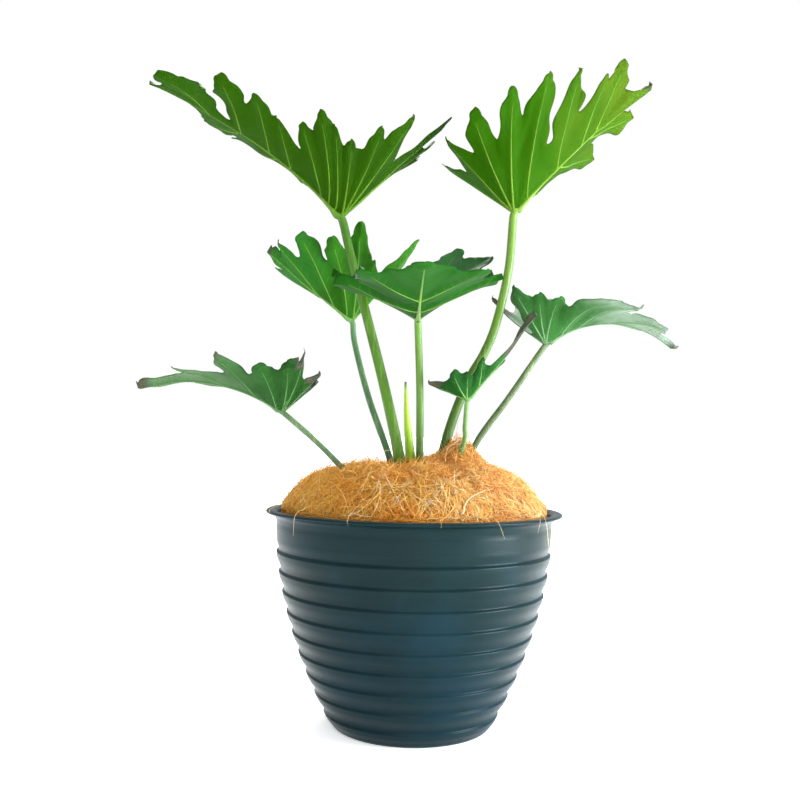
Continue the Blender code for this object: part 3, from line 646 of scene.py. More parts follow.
def coir_skin(name):
    """Dry coconut fibre: each fibre has its own shade of colour, with painted light that makes it
    paler towards the right and brighter towards the left, and painted shade that darkens it where
    it lies deep.
    """
    t = new_skin(name)
    patch = t.noise(t.place(), 26, 3)
    grain = t.noise(t.place(), 900, 2)
    colour = t.ramp(t.value("shade"), FIBRE_STOPS)
    warm = t.mix(1.0, colour, tone(252, 206, 130), "MULTIPLY")
    colour = t.mix(t.spread(patch, 0.4, 0.6, 0, 0.65), colour, warm)
    # Painted light: paler towards the right, brighter and more golden towards the left, after how
    # the light falls across the mound
    across = t.axis("X")
    colour = t.mix(t.spread(across, -0.02, 0.08, 0, 0.25), colour, tone(252, 226, 178))
    colour = t.mix(t.spread(across, 0.0, -0.08, 0, 0.4), colour, tone(255, 210, 100))
    colour = t.mix(t.spread(grain, 0.45, 0.85, 0, 0.2), colour, tone(200, 136, 56))
    # Painted shade: darker where the fibre lies deep among the others
    deep = t.mix(1.0, colour, tone(224, 184, 128), "MULTIPLY")
    colour = t.mix(t.value("depth"), colour, deep)
    t.bump(grain, 0.4, 0.2 * MM)
    t.surface(colour, 0.8, Specular_IOR_Level=0.25)
    return t.let_through(0.3, tone(255, 206, 120))


def bed_skin():
    """The dense coir that shows between the fibres."""
    t = new_skin("coir_bed_skin")
    web = t.noise(t.place(), 240, 6, 0.7)
    patch = t.noise(t.place(), 28, 3)
    colour = t.ramp(
        web, ((0.3, tone(120, 66, 20)), (0.5, tone(214, 138, 46)), (0.7, tone(252, 196, 84)))
    )
    colour = t.mix(t.spread(patch, 0.3, 0.5, 0.4, 0), colour, tone(150, 92, 40))
    t.bump(web, 1.0, 1.5 * MM)
    return t.surface(colour, 0.9)


def soil_skin():
    """Dark crumbly potting soil."""
    t = new_skin("soil_fine")
    crumb = t.noise(t.place(), 160, 6, 0.7)
    stops = ((0.3, tone(34, 26, 20)), (0.6, tone(74, 56, 42)), (0.8, tone(110, 88, 66)))
    colour = t.ramp(crumb, stops)
    t.bump(crumb, 1.0, 2 * MM)
    return t.surface(colour, 0.95)


def crown_skin():
    """The short brown and green stem."""
    t = new_skin("crown_fine")
    bark = t.noise(t.place((1, 1, 3)), 120, 5, 0.65)
    stops = ((0.3, tone(84, 74, 40)), (0.6, tone(130, 132, 62)), (0.8, tone(170, 150, 84)))
    colour = t.ramp(bark, stops)
    t.bump(bark, 0.8, MM)
    return t.surface(colour, 0.8)


def floor_skin():
    """White, and of its own light further off, so that it runs into the white behind the plant."""
    t = new_skin("floor_skin")
    cloud = t.noise(t.place(), 3, 3)
    colour = t.ramp(cloud, ((0.3, tone(250, 251, 251)), (0.7, tone(255, 255, 255))))
    away = t.node("VectorMath")
    away.operation = "LENGTH"
    t.join(t.place(), away.inputs[0])
    glow = t.spread(away.outputs["Value"], 0.08, 0.5, 0.4, 0.9)
    t.join(glow, t.shader.inputs["Emission Strength"])
    return t.surface(colour, 0.9, Specular_IOR_Level=0.0, Emission_Color=(1, 1, 1, 1))


# Meshes


def add_mesh(name, points, faces, skins, slots=None, values=None):
    """A smooth object, with a slot number for each face and named numbers for each point."""
    mesh = bpy.data.meshes.new(name)
    mesh.from_pydata(np.asarray(points).tolist(), [], faces)
    for skin in skins:
        mesh.materials.append(skin)
    if slots is not None:
        mesh.polygons.foreach_set("material_index", np.asarray(slots, np.int32))
    mesh.polygons.foreach_set("use_smooth", np.ones(len(mesh.polygons), bool))
    for key, amounts in (values or {}).items():
        layer = mesh.attributes.new(key, "FLOAT", "POINT")
        layer.data.foreach_set("value", np.asarray(amounts, np.float32))
    mesh.update()
    obj = bpy.data.objects.new(name, mesh)
    bpy.context.scene.collection.objects.link(obj)
    return obj


def smooth_noise(x, y, seed, octaves=3):
    """A sum of turned sine waves, about -1 to 1, which looks random and repeats each run."""
    rng = np.random.default_rng(seed)
    total, weight = 0.0, 0.0
    for octave in range(octaves):
        scale = 1.9**octave
        for _ in range(4):
            turn, shift = rng.uniform(0, math.tau, 2)
            wave = np.sin(scale * (x * math.cos(turn) + y * math.sin(turn)) + shift)
            total = total + wave / scale
            weight += 1 / scale
    return 2.2 * total / weight


def ease(low, high, value):
    """0 below low and 1 above high, eased at both ends."""
    share = np.clip((value - low) / (high - low), 0, 1)
    return share * share * (3 - 2 * share)


def run_along(line):
    """How far along a line each of its points is."""
    steps = np.linalg.norm(np.diff(line, axis=0), axis=1)
    return np.concatenate([[0], np.cumsum(steps)])


def even(line, count):
    """The same line at count evenly spaced points."""
    along = run_along(line)
    at = np.linspace(0, along[-1], count)
    return np.column_stack([np.interp(at, along, values) for values in line.T])


def spaced(line, spacing):
    """The same line at points about spacing apart."""
    return even(line, max(2, round(run_along(line)[-1] / spacing) + 1))


def smooth_line(points, step):
    """Points every step or so along a smooth curve through the given ones, a Catmull-Rom spline."""
    points = np.asarray(points, float)
    ends = np.vstack([2 * points[0] - points[1], points, 2 * points[-1] - points[-2]])
    line = []
    for a, b, c, d in zip(ends, ends[1:], ends[2:], ends[3:]):
        count = max(2, round(np.linalg.norm(c - b) / step))
        for at in np.arange(count) / count:
            curve = 0.5 * (2 * b + (c - a) * at + (2 * a - 5 * b + 4 * c - d) * at**2)
            line.append(curve + 0.5 * (3 * b - 3 * c + d - a) * at**3)
    return np.array(line + [points[-1]])


def girth_along(girth, share):
    """A radius that falls from the first value through the second to the third."""
    low, middle, high = girth
    base = low + (middle - low) * np.minimum(share / 0.3, 1)
    return base + (high - middle) * np.maximum((share - 0.3) / 0.7, 0)


def tube_parts(line, radii, sides, first=0, shape=None):
    """The points and faces of a closed rod along a line. shape scales the radius round it."""
    ways = np.gradient(line, axis=0)
    ways /= np.linalg.norm(ways, axis=1)[:, None] + 1e-12
    across = np.cross(ways[0], (0.0, 1.0, 0.0))
    turns = math.tau * np.arange(sides) / sides
    swell = np.ones(sides) if shape is None else shape(turns)
    rings = []
    for place, way, radius in zip(line, ways, radii):
        across = across - way * (across @ way)
        across /= np.linalg.norm(across)
        other = np.cross(way, across)
        ring = np.outer(np.cos(turns), across) + np.outer(np.sin(turns), other)
        rings.append(place + ring * swell[:, None] * radius)
    low = first + np.arange((len(line) - 1) * sides)
    level, side = np.divmod(low - first, sides)
    after = first + level * sides + (side + 1) % sides
    faces = np.column_stack([low, after, after + sides, low + sides]).tolist()
    last = first + (len(line) - 1) * sides
    faces.append(list(range(first + sides - 1, first - 1, -1)))
    faces.append(list(range(last, last + sides)))
    return np.vstack(rings), faces


# The flat blade


def polar(reach, angle):
    """A flat point from its distance to the petiole and its angle in degrees."""
    turn = math.radians(angle)
    return np.array([reach * math.cos(turn), reach * math.sin(turn)])


def lobe_vein(leaf, lobe, side, count=FIELD_POINTS):
    """Points along a lobe's vein, which leaves the midrib steeply and then turns forward."""
    start = np.array([lobe.start * leaf.length, 0.0])
    tip = polar(lobe.reach, side * lobe.angle)
    along = tip - start
    across = np.array([-along[1], along[0]]) * side * VEIN_BOW
    share = np.linspace(0, 1, count)[:, None]
    return start + along * share + across * 4 * share * (1 - share)


def midrib_of(leaf, count=FIELD_POINTS):
    """Points along the midrib."""
    return np.column_stack([np.linspace(0, leaf.length, count), np.zeros(count)])


def nearest_on(line, x, y):
    """For each point, its distance to a line, the share along it, and which side of it it is on."""
    best = np.full(x.shape, np.inf)
    share = np.zeros(x.shape)
    hand = np.zeros(x.shape)
    for i, (a, b) in enumerate(zip(line, line[1:])):
        dx, dy = b - a
        t = np.clip(((x - a[0]) * dx + (y - a[1]) * dy) / (dx * dx + dy * dy), 0, 1)
        away = np.hypot(x - a[0] - t * dx, y - a[1] - t * dy)
        closer = away < best
        best = np.where(closer, away, best)
        share = np.where(closer, (i + t) / (len(line) - 1), share)
        hand = np.where(closer, np.sign(dx * (y - a[1]) - dy * (x - a[0])), hand)
    return best, share, hand


def tongue(line, width, x, y, phase, waist):
    """How far inside a lobe each point is: it swells past its middle and ends blunt and wavy."""
    away, share, hand = nearest_on(line, x, y)
    half = width / 2 * (waist + (LOBE_SWELL - waist) * np.sin(math.pi * share**2))
    half = half * np.clip(LOBE_END - LOBE_END_FALL * share**8, 0, 1)
    ripple = np.sin(math.tau * LOBE_WAVES * share + phase + LOBE_WAVE_SHIFT * hand)
    return half * (1 + LOBE_WAVE_DEPTH * ripple) - away


def inside_polygon(corners, x, y):
    """The distance of each point inside a polygon, negative outside."""
    nearest = np.full(x.shape, np.inf)
    inside = np.zeros(x.shape, bool)
    for a, b in zip(corners, np.roll(corners, -1, axis=0)):
        dx, dy = b - a
        t = np.clip(((x - a[0]) * dx + (y - a[1]) * dy) / (dx * dx + dy * dy + 1e-9), 0, 1)
        nearest = np.minimum(nearest, np.hypot(x - a[0] - t * dx, y - a[1] - t * dy))
        crosses = ((a[1] > y) != (b[1] > y)) & (x < dx * (y - a[1]) / (dy or 1e-9) + a[0])
        inside ^= crosses
    return np.where(inside, nearest, -nearest)


def web_outline(leaf):
    """The middle of the blade that joins the lobes: its corners are the bottoms of the sinuses."""
    halves = []
    for side, lobes in ((1, leaf.left), (-1, leaf.right)):
        angles = [0] + [lobe.angle for lobe in lobes]
        sinuses = [
            polar(lobe.notch, side * (before + lobe.angle) / 2)
            for before, lobe in zip(angles, lobes)
        ]
        halves.append(sinuses + [polar(0.6 * lobes[-1].reach, side * lobes[-1].angle)])
    ahead = [np.array([0.85 * leaf.length, 0.0])]
    behind = [np.array([2.0, 0.0])]
    return np.array(behind + halves[0][::-1] + ahead + halves[1])


def blade_field(leaf, x, y):
    """How far inside the lobed blade each point of its plane is, negative outside."""
    rng = np.random.default_rng(leaf.seed)
    front = midrib_of(leaf)[FIELD_POINTS // 2 :]
    fields = [
        inside_polygon(web_outline(leaf), x, y),
        tongue(front, leaf.tip_width, x, y, rng.uniform(0, math.tau), leaf.waist),
    ]
    for side, lobes in ((1, leaf.left), (-1, leaf.right)):
        for lobe in lobes:
            vein = lobe_vein(leaf, lobe, side)
            phase = rng.uniform(0, math.tau)
            fields.append(tongue(vein, lobe.width, x, y, phase, leaf.waist))
    powers = [np.exp(np.clip(field / FIELD_BLEND, -40, 40)) for field in fields]
    return FIELD_BLEND * np.log(sum(powers))


def outline_of(leaf):
    """The blade's margin as a closed loop of points, read off its field by marching squares."""
    size = 1.25 * leaf.length
    ticks = np.arange(-size, size, FIELD_STEP)
    x, y = np.meshgrid(ticks, ticks, indexing="ij")
    field = blade_field(leaf, x, y)
    inside = field > 0
    links = {}

    def crossing(i, j, k, m):
        share = field[i, j] / (field[i, j] - field[k, m])
        return (
            ticks[i] + share * (ticks[k] - ticks[i]),
            ticks[j] + share * (ticks[m] - ticks[j]),
        )

    mixed = inside[:-1, :-1].astype(int) + inside[1:, :-1] + inside[:-1, 1:] + inside[1:, 1:]
    for i, j in np.argwhere((mixed > 0) & (mixed < 4)):
        ring = ((i, j), (i + 1, j), (i + 1, j + 1), (i, j + 1))
        cuts = [
            (ring[n], ring[(n + 1) % 4])
            for n in range(4)
            if inside[ring[n]] != inside[ring[(n + 1) % 4]]
        ]
        for first, second in zip(cuts[::2], cuts[1::2]):
            a, b = tuple(sorted(first)), tuple(sorted(second))
            links.setdefault(a, []).append(b)
            links.setdefault(b, []).append(a)
    loops, seen = [], set()
    for begin in links:
        loop, here = [], begin
        while here is not None and here not in seen:
            seen.add(here)
            loop.append(crossing(*here[0], *here[1]))
            here = next((n for n in links[here] if n not in seen), None)
        loops.append(loop)
    return np.array(max(loops, key=len))


def thinned(loop, tolerance, spacing):
    """The loop with the points left out that lie near the line between their neighbours."""
    kept = [0]
    for i in range(2, len(loop)):
        a, b = loop[kept[-1]], loop[i]
        between = loop[kept[-1] + 1 : i]
        span = np.linalg.norm(b - a)
        aside = (b[0] - a[0]) * (between[:, 1] - a[1]) - (b[1] - a[1]) * (between[:, 0] - a[0])
        if span > spacing or (np.abs(aside) / max(span, 1e-9)).max() > tolerance:
            kept.append(i - 1)
    return loop[kept]


# A vein of the blade: its name, its flat line, and its half width at its two ends
Vein = namedtuple("Vein", "name line begin end")


def veins_of(leaf):
    """The midrib and the vein of each lobe."""
    scale = math.sqrt(leaf.length / VEIN_LEAF_LENGTH)
    midrib = midrib_of(leaf, VEIN_POINTS)[:-1]
    veins = [Vein("M", midrib, MIDRIB_BEGIN * scale, MIDRIB_END)]
    for side, letter, lobes in ((1, "L", leaf.left), (-1, "R", leaf.right)):
        for index, lobe in enumerate(lobes):
            begin = (VEIN_BEGIN if lobe.start == 0 else BRANCH_BEGIN) * scale
            line = lobe_vein(leaf, lobe, side, VEIN_POINTS)[:-2]
            veins.append(Vein(f"{letter}{index}", line, begin, VEIN_END))
    return veins


def clear_of(places, fixed, room):
    """Which places lie further than room from every fixed point."""
    keep = np.ones(len(places), bool)
    for start in range(0, len(places), 400):
        part = places[start : start + 400]
        gaps = np.hypot(part[:, None, 0] - fixed[None, :, 0], part[:, None, 1] - fixed[None, :, 1])
        keep[start : start + 400] = gaps.min(1) > room
    return keep


def blade_points(leaf, margin, veins):
    """The flat blade's points, its margin first."""
    points = margin
    for vein in veins:
        places = spaced(vein.line, VEIN_SPACING)
        room = blade_field(leaf, places[:, 0], places[:, 1])
        places = places[(room > 0.8) & clear_of(places, points, 0.45 * VEIN_SPACING)]
        points = np.vstack([points, places])
    low, high = margin.min(0), margin.max(0)
    rows = np.arange(low[1], high[1], INNER_SPACING * math.sqrt(0.75))
    grid = []
    for n, y in enumerate(rows):
        row = np.arange(low[0] + (n % 2) * INNER_SPACING / 2, high[0], INNER_SPACING)
        grid.append(np.column_stack([row, np.full(len(row), y)]))
    grid = np.vstack(grid)
    grid = grid[blade_field(leaf, grid[:, 0], grid[:, 1]) > 0.4 * INNER_SPACING]
    grid = grid[clear_of(grid, points, 0.6 * INNER_SPACING)]
    return np.vstack([points, grid])


def triangles(flat, border):
    """The flat triangles inside the border, whose points come first."""
    edge = [(i, (i + 1) % border) for i in range(border)]
    made = delaunay_2d_cdt([tuple(p) for p in flat], edge, [], 1, 1e-4)
    return np.array([tuple(p) for p in made[0]]), np.array(made[2])


# The bent blade


def around(values, turn):
    """A value at any angle from those at the front, left, back and right."""
    front, left, back, right = values
    mean = (front + left + back + right) / 4
    twice = (front - left + back - right) / 4
    ahead = (front - back) / 2
    across = (left - right) / 2
    return mean + ahead * np.cos(turn) + across * np.sin(turn) + twice * np.cos(2 * turn)


def bent(leaf, flat, lift):
    """Flat blade points in space, each raised off the blade's sweep by lift millimetres."""
    x, y = flat[:, 0], flat[:, 1]
    reach = np.hypot(x, y)
    turn = np.arctan2(y, x)
    rise = np.radians(around(leaf.rise, turn))
    curl = np.radians(around(leaf.droop, turn)) / leaf.length
    curl = np.where(np.abs(curl) < 1e-6, 1e-6, curl)
    slope = rise - curl * reach
    out = (np.sin(rise) - np.sin(slope)) / curl
    up = (np.cos(slope) - np.cos(rise)) / curl
    room = np.clip(blade_field(leaf, x, y), 0, 30)
    ripple = smooth_noise(x / RUFFLE_SIZE, y / RUFFLE_SIZE, leaf.seed + 20, 2)
    fade = np.exp(-room / RUFFLE_SIZE)
    up = up + leaf.ruffle * ripple * fade * np.clip(reach / RUFFLE_START, 0, 1)
    way = turn + math.radians(leaf.heading)
    out = out - lift * np.sin(slope)
    up = up + lift * np.cos(slope)
    local = np.column_stack([out * np.cos(way), out * np.sin(way), up])
    return (local + leaf.stalk[-1]) * MM


def vein_values(leaf, flat, veins):
    """For each flat point, where it lies beside its nearest vein."""
    x, y = flat[:, 0], flat[:, 1]
    found = [nearest_on(vein.line, x, y) for vein in veins]
    away = np.array([f[0] for f in found])
    order = np.argsort(away, axis=0)
    first = order[0]
    rows = np.arange(len(flat))
    share = np.array([f[1] for f in found])[first, rows]
    hand = np.array([f[2] for f in found])[first, rows]
    spans = np.array([np.linalg.norm(v.line[-1] - v.line[0]) for v in veins])
    begins = np.array([v.begin for v in veins])
    ends = np.array([v.end for v in veins])
    near = away[first, rows]
    dry_from = np.array([DRY[leaf.name].get(v.name, 9.0) for v in veins])[first]
    return {
        "vein": first,
        "hand": hand,
        "off": near,
        "share": share,
        "along": share * spans[first],
        "gap": away[order[1], rows] - near,
        "width": begins[first] + (ends[first] - begins[first]) * share,
        "dry": ease(0.0, 0.08, share - dry_from),
        "room": blade_field(leaf, x, y),
        "ahead": x / leaf.length,
    }


def lift_of(leaf, veins, beside):
    """How far each point stands off the blade's sweep: pleats between the veins, curled tips."""
    rng = np.random.default_rng(leaf.seed + 40)
    curls = CURL[leaf.name]
    wild = [(rng.uniform(-2.5, 2.5), rng.uniform(-3, 3)) for _ in veins]
    tips = np.array([curls.get(v.name, w)[0] for v, w in zip(veins, wild)])
    rolls = np.array([curls.get(v.name, w)[1] for v, w in zip(veins, wild)])
    vein = beside["vein"]
    far = ease(0.45, 1.15, beside["share"]) * ease(0, 8, beside["gap"])
    near = beside["off"]
    pleat = PLEAT * (1 - np.exp(-(near**2) / 50)) * ease(4, 30, beside["along"] + near)
    roll = rolls[vein] * beside["hand"] * np.clip(near / 14, 0, 1.2)
    return pleat + far * (tips[vein] + roll)


def withered(leaf, flat, veins, beside, lift):
    """The flat points and lifts with the dried tips drawn in to their veins and gutter-shaped."""
    drawn = flat.copy()
    raised = lift.copy()
    for index, vein in enumerate(veins):
        begin = DRY[leaf.name].get(vein.name)
        if begin is None:
            continue
        here = beside["vein"] == index
        turn = WITHER_TURN * ease(begin - 0.12, 1.05, beside["share"][here])
        at = beside["share"][here] * (len(vein.line) - 1)
        steps = np.arange(len(vein.line))
        foot = np.column_stack([np.interp(at, steps, vein.line[:, axis]) for axis in (0, 1)])
        drawn[here] = foot + (flat[here] - foot) * (np.cos(turn) * (1 - 0.3 * turn))[:, None]
        raised[here] += 0.3 * beside["off"][here] * np.sin(turn)
    return drawn, raised


def point_normals(points, faces):
    """A normal for each point, the mean of those of its triangles."""
    corners = points[faces]
    across = np.cross(corners[:, 1] - corners[:, 0], corners[:, 2] - corners[:, 0])
    total = np.zeros_like(points)
    for corner in range(3):
        np.add.at(total, faces[:, corner], across)
    return total / (np.linalg.norm(total, axis=1)[:, None] + 1e-15)


def border_edges(faces):
    """The edges that only one triangle has, in that triangle's own direction."""
    edges = np.vstack([faces[:, [0, 1]], faces[:, [1, 2]], faces[:, [2, 0]]])
    key = np.sort(edges, axis=1)
    _, index, counts = np.unique(key, axis=0, return_index=True, return_counts=True)
    return edges[index[counts == 1]]


# The numbers that a blade's mesh holds at each point, for its materials
BLADE_KEYS = ("off", "share", "along", "gap", "width", "dry", "room", "ahead")


def lamina_parts(leaf, veins):
    """The points, faces, slots and numbers of a blade's two faces and its rim."""
    margin = thinned(outline_of(leaf), EDGE_TOLERANCE, EDGE_SPACING)
    flat, faces = triangles(blade_points(leaf, margin, veins), len(margin))
    beside = vein_values(leaf, flat, veins)
    top = bent(leaf, *withered(leaf, flat, veins, beside, lift_of(leaf, veins, beside)))
    normals = point_normals(top, faces)
    if normals[:, 2].mean() < 0:
        faces = faces[:, ::-1]
        normals = -normals
    thick = MARGIN + (LAMINA - MARGIN) * ease(0, MARGIN_SLOPE, beside["room"])
    under = top - normals * thick[:, None] * MM
    count = len(top)
    edges = border_edges(faces)
    rim = np.column_stack([edges[:, 1], edges[:, 0], edges[:, 0] + count, edges[:, 1] + count])
    all_faces = faces.tolist() + (faces[:, ::-1] + count).tolist() + rim.tolist()
    slots = [0] * len(faces) + [1] * (len(faces) + len(rim))
    values = {key: [beside[key], beside[key]] for key in BLADE_KEYS}
    return [top, under], all_faces, slots, values


def rib_parts(leaf, veins, vein, line, first):
    """The points, faces and numbers of the round rib under a vein. first is its first point."""
    here = vein_values(leaf, line, veins)
    lift = lift_of(leaf, veins, here)
    here["share"] = np.linspace(0, 1, len(line))
    radius = (vein.begin + (vein.end - vein.begin) * here["share"] ** 0.7) * MM
    spine = bent(leaf, line, lift)
    way = (bent(leaf, line, lift + 1.0) - spine) / MM
    spine = spine - way * (0.5 * LAMINA * MM + 0.35 * radius)[:, None]
    points, faces = tube_parts(spine, radius, RIB_SIDES, first)
    return points, faces, {key: np.repeat(here[key], RIB_SIDES) for key in BLADE_KEYS}


def make_blade(leaf):
    """The lamina with its two faces and its rim, and a round rib under each vein."""
    look = LOOKS[leaf.name]
    veins = veins_of(leaf)
    points, faces, slots, values = lamina_parts(leaf, veins)
    for vein in veins:
        line = spaced(vein.line, RIB_STEP)
        line = line[blade_field(leaf, line[:, 0], line[:, 1]) > 0.6]
        if len(line) < 4:
            continue
        first = sum(len(part) for part in points)
        part, sides, numbers = rib_parts(leaf, veins, vein, line, first)
        points.append(part)
        faces += sides
        slots += [2] * len(sides)
        for key in BLADE_KEYS:
            values[key].append(numbers[key])
    skins = [
        leaf_skin(f"{leaf.name}_upper", look, True),
        leaf_skin(f"{leaf.name}_under", look, False),
        rib_skin(f"{leaf.name}_ribs", look),
    ]
    made = {key: np.concatenate(parts) for key, parts in values.items()}
    blade = add_mesh(f"leaf_{leaf.name}", np.vstack(points), faces, skins, slots, made)
    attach(blade, "root")
    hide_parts(f"blade_{leaf.name}")


# Petioles and the rolled leaf


# Where a petiole runs on under its blade: how far out, in millimetres, and its radius there as a
# share of that at the petiole's end
KNUCKLE_REACH = (4, 10, 20, 34)
KNUCKLE_GIRTH = (0.85, 0.62, 0.46, 0.3)

# How far the petiole's middle lies under the blade there, as a share of its radius
KNUCKLE_DROP = 0.8


def ridged(turns):
    """A petiole's outline: a little flattened, with faint ridges."""
    return 1 + 0.05 * np.cos(2 * turns + 0.6) + 0.02 * np.cos(7 * turns)


def under_midrib(leaf):
    """The petiole's line where it runs on under the blade and thins into the midrib."""
    flat = np.column_stack([KNUCKLE_REACH, np.zeros(len(KNUCKLE_REACH))])
    none = np.zeros(len(flat))
    spine = bent(leaf, flat, none)
    way = (bent(leaf, flat, none + 1.0) - spine) / MM
    girth = leaf.girth[2] * np.array(KNUCKLE_GIRTH)
    return spine - way * (KNUCKLE_DROP * girth * MM)[:, None], girth * MM


def make_petiole(leaf):
    """A ridged rod from the crown to its blade, thicker at its foot."""
    stalk = np.array(leaf.stalk) * MM
    last = stalk[-1] - stalk[-2]
    stalk[-1] -= KNUCKLE_DROP * leaf.girth[2] * MM * last / np.linalg.norm(last)
    high, thin = under_midrib(leaf)
    line = smooth_line(np.vstack([stalk, high]), STALK_STEP)
    climb = run_along(line)
    knots = [np.argmin(np.linalg.norm(line - place, axis=1)) for place in high]
    top = np.argmin(np.linalg.norm(line - stalk[-1], axis=1))
    share = climb / climb[top]
    radii = girth_along(leaf.girth, np.minimum(share, 1)) * MM
    radii = radii * (1 + FOOT_FLARE * np.exp(-climb / FOOT_FADE))
    marks = [climb[top]] + [climb[k] for k in knots]
    ends = [leaf.girth[2] * MM] + list(thin)
    radii = np.where(climb > climb[top], np.interp(climb, marks, ends), radii)
    points, faces = tube_parts(line, radii, STALK_SIDES, shape=ridged)
    skin = stalk_skin(f"{leaf.name}_stalk", LOOKS[leaf.name])
    values = {"share": np.repeat(share, STALK_SIDES)}
    obj = add_mesh(f"stalk_{leaf.name}", points, faces, [skin], values=values)
    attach(obj, "root")
    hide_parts(f"petiole_{leaf.name}")


def wound(turns):
    """The rolled leaf's outline, with a step where the blade's outer edge lies."""
    return 0.9 + 0.16 * turns / math.tau


def make_rolled_leaf():
    """A spear wound from one blade."""
    line = smooth_line(np.array(NEW_LEAF_STALK) * MM, STALK_STEP)
    share = np.linspace(0, 1, len(line))
    radii = girth_along(NEW_LEAF_GIRTH, share) * MM
    points, faces = tube_parts(line, radii, SPEAR_SIDES, shape=wound)
    values = {"share": np.repeat(share, SPEAR_SIDES)}
    obj = add_mesh("rolled_leaf", points, faces, [spear_skin()], values=values)
    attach(obj, "root")
    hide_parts("new_leaf")


# The pot


# The lip from the inside over its top to the outside: the radius that each point is measured
# from, how far out it is from there, and its height, in millimetres
LIP_LINE = (
    (WALL_TOP_RADIUS, -2.4, 174),
    (WALL_TOP_RADIUS, -0.6, 178),
    (WALL_TOP_RADIUS, 3, 179.8),
    (LIP_RADIUS, -1.4, 179.6),
    (LIP_RADIUS, -0.1, 178.6),
    (LIP_RADIUS, -0.3, 177.3),
    (LIP_RADIUS, -2.4, 176.6),
    (WALL_TOP_RADIUS, 3, 175.6),
    (WALL_TOP_RADIUS, 0.6, 173.2),
    (WALL_TOP_RADIUS, -0.6, 169),
)


def wall_radius(z):
    """The pot's smooth outer radius at a height, before its bands."""
    share = np.clip(z / POT_HEIGHT, 0, 1)
    straight = WALL_BASE_RADIUS + (WALL_TOP_RADIUS - WALL_BASE_RADIUS) * share
    return straight + WALL_BELLY * 4 * share * (1 - share)


def band_relief(z):
    """How far the bands stand out at a height: each leans out upwards and ends in a ledge."""
    top = BAND_FIRST + (BAND_COUNT - 1) * BAND_PITCH
    above = (z - BAND_FIRST) % BAND_PITCH
    fall = ease(0, LEDGE_HEIGHT, above)
    climb = ease(CLIMB_START, CLIMB_END, above)
    relief = BAND_OUT - (BAND_OUT + BAND_IN) * fall * (1 - climb)
    fade = ease(top + LAST_BAND_GONE, top + LAST_BAND_FULL, z)
    return np.where(z > top, relief * fade, relief) * ease(0, FIRST_BAND_FULL, z)


def pot_outline():
    """From the middle of the inside floor, up the inside, over the lip and down the outside."""
    inner_heights = np.linspace(FLOOR_THICKNESS, 0.172, 30)
    inside = [(wall_radius(z) - WALL_THICKNESS, z) for z in inner_heights]
    stops = [(start + out * MM, height * MM) for start, out, height in LIP_LINE]
    lip = smooth_line(stops, 0.7 * MM)
    heights = np.concatenate([np.arange(166, 3, -0.75), [2.4, 1.6, 0.9, 0.4, 0.1]]) * MM
    outside = []
    for z in heights:
        foot = FOOT_INSET * max(0.0, 1 - z / FOOT_ROUND) ** 2
        outside.append((float(wall_radius(z) + band_relief(z)) - foot, z))
    base = float(wall_radius(0)) - BASE_INSET
    rim = [tuple(point) for point in lip]
    return [(0, FLOOR_THICKNESS)] + inside + rim + outside + [(base, 0), (0, 0)]


def turned(name, outline, steps, skin):
    """A solid turned about the Z axis from a line of (radius, height) points."""
    points, faces, rings = [], [], []
    turns = math.tau * np.arange(steps) / steps
    for radius, z in outline:
        if radius == 0:
            rings.append([len(points)] * steps)
            points.append((0, 0, z))
        else:
            rings.append(list(range(len(points), len(points) + steps)))
            points += [(radius * math.cos(a), radius * math.sin(a), z) for a in turns]
    for low, high in zip(rings, rings[1:]):
        for i in range(steps):
            j = (i + 1) % steps
            faces.append(list(dict.fromkeys([low[i], high[i], high[j], low[j]])))
    return add_mesh(name, points, faces, [skin])


def cut_drains(pot):
    """Cuts the drain holes through the pot's floor, with a rod for each."""
    points, faces = [], []
    for hole in range(DRAIN_COUNT):
        turn = math.tau * (hole + 0.5) / DRAIN_COUNT
        foot = np.array([DRAIN_CIRCLE * math.cos(turn), DRAIN_CIRCLE * math.sin(turn), -0.01])
        line = np.array([foot, foot + (0, 0, 0.01), foot + (0, 0, 0.02)])
        first = len(line) * DRAIN_SIDES * hole
        part, sides = tube_parts(line, [DRAIN_RADIUS] * len(line), DRAIN_SIDES, first)
        points.append(part)
        faces += sides
    cutter = add_mesh("drains", np.vstack(points), faces, [])
    cut = pot.modifiers.new("drains", "BOOLEAN")
    cut.operation = "DIFFERENCE"
    cut.solver = "EXACT"
    cut.object = cutter
    graph = bpy.context.evaluated_depsgraph_get()
    mesh = bpy.data.meshes.new_from_object(pot.evaluated_get(graph))
    pot.modifiers.clear()
    pot.data = mesh
    bpy.data.objects.remove(cutter)


def make_pot():
    """The turned shell with its drain holes."""
    pot = turned("pot_shell", pot_outline(), POT_STEPS, pot_skin())
    cut_drains(pot)
    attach(pot, "root")
    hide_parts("pot")


# The coir


def coir_height(x, y):
    """The height of the coir's upper surface, from its edge against the pot to its domed middle."""
    share = np.clip(np.hypot(x, y) / COIR_ROOM, 0, 1)
    dome = COIR_DOME * (1 - share**COIR_SHOULDER) ** 0.9
    from_peak = np.hypot(x - COIR_PEAK[0], y - COIR_PEAK[1]) / COIR_PEAK_SPREAD
    peak = COIR_PEAK_HEIGHT * np.exp(-(from_peak**2))
    tufts = smooth_noise(x * COIR_TUFTS, y * COIR_TUFTS, 5)
    relief = COIR_RELIEF * tufts * (1 - share**8)
    return COIR_EDGE + dome + peak + relief


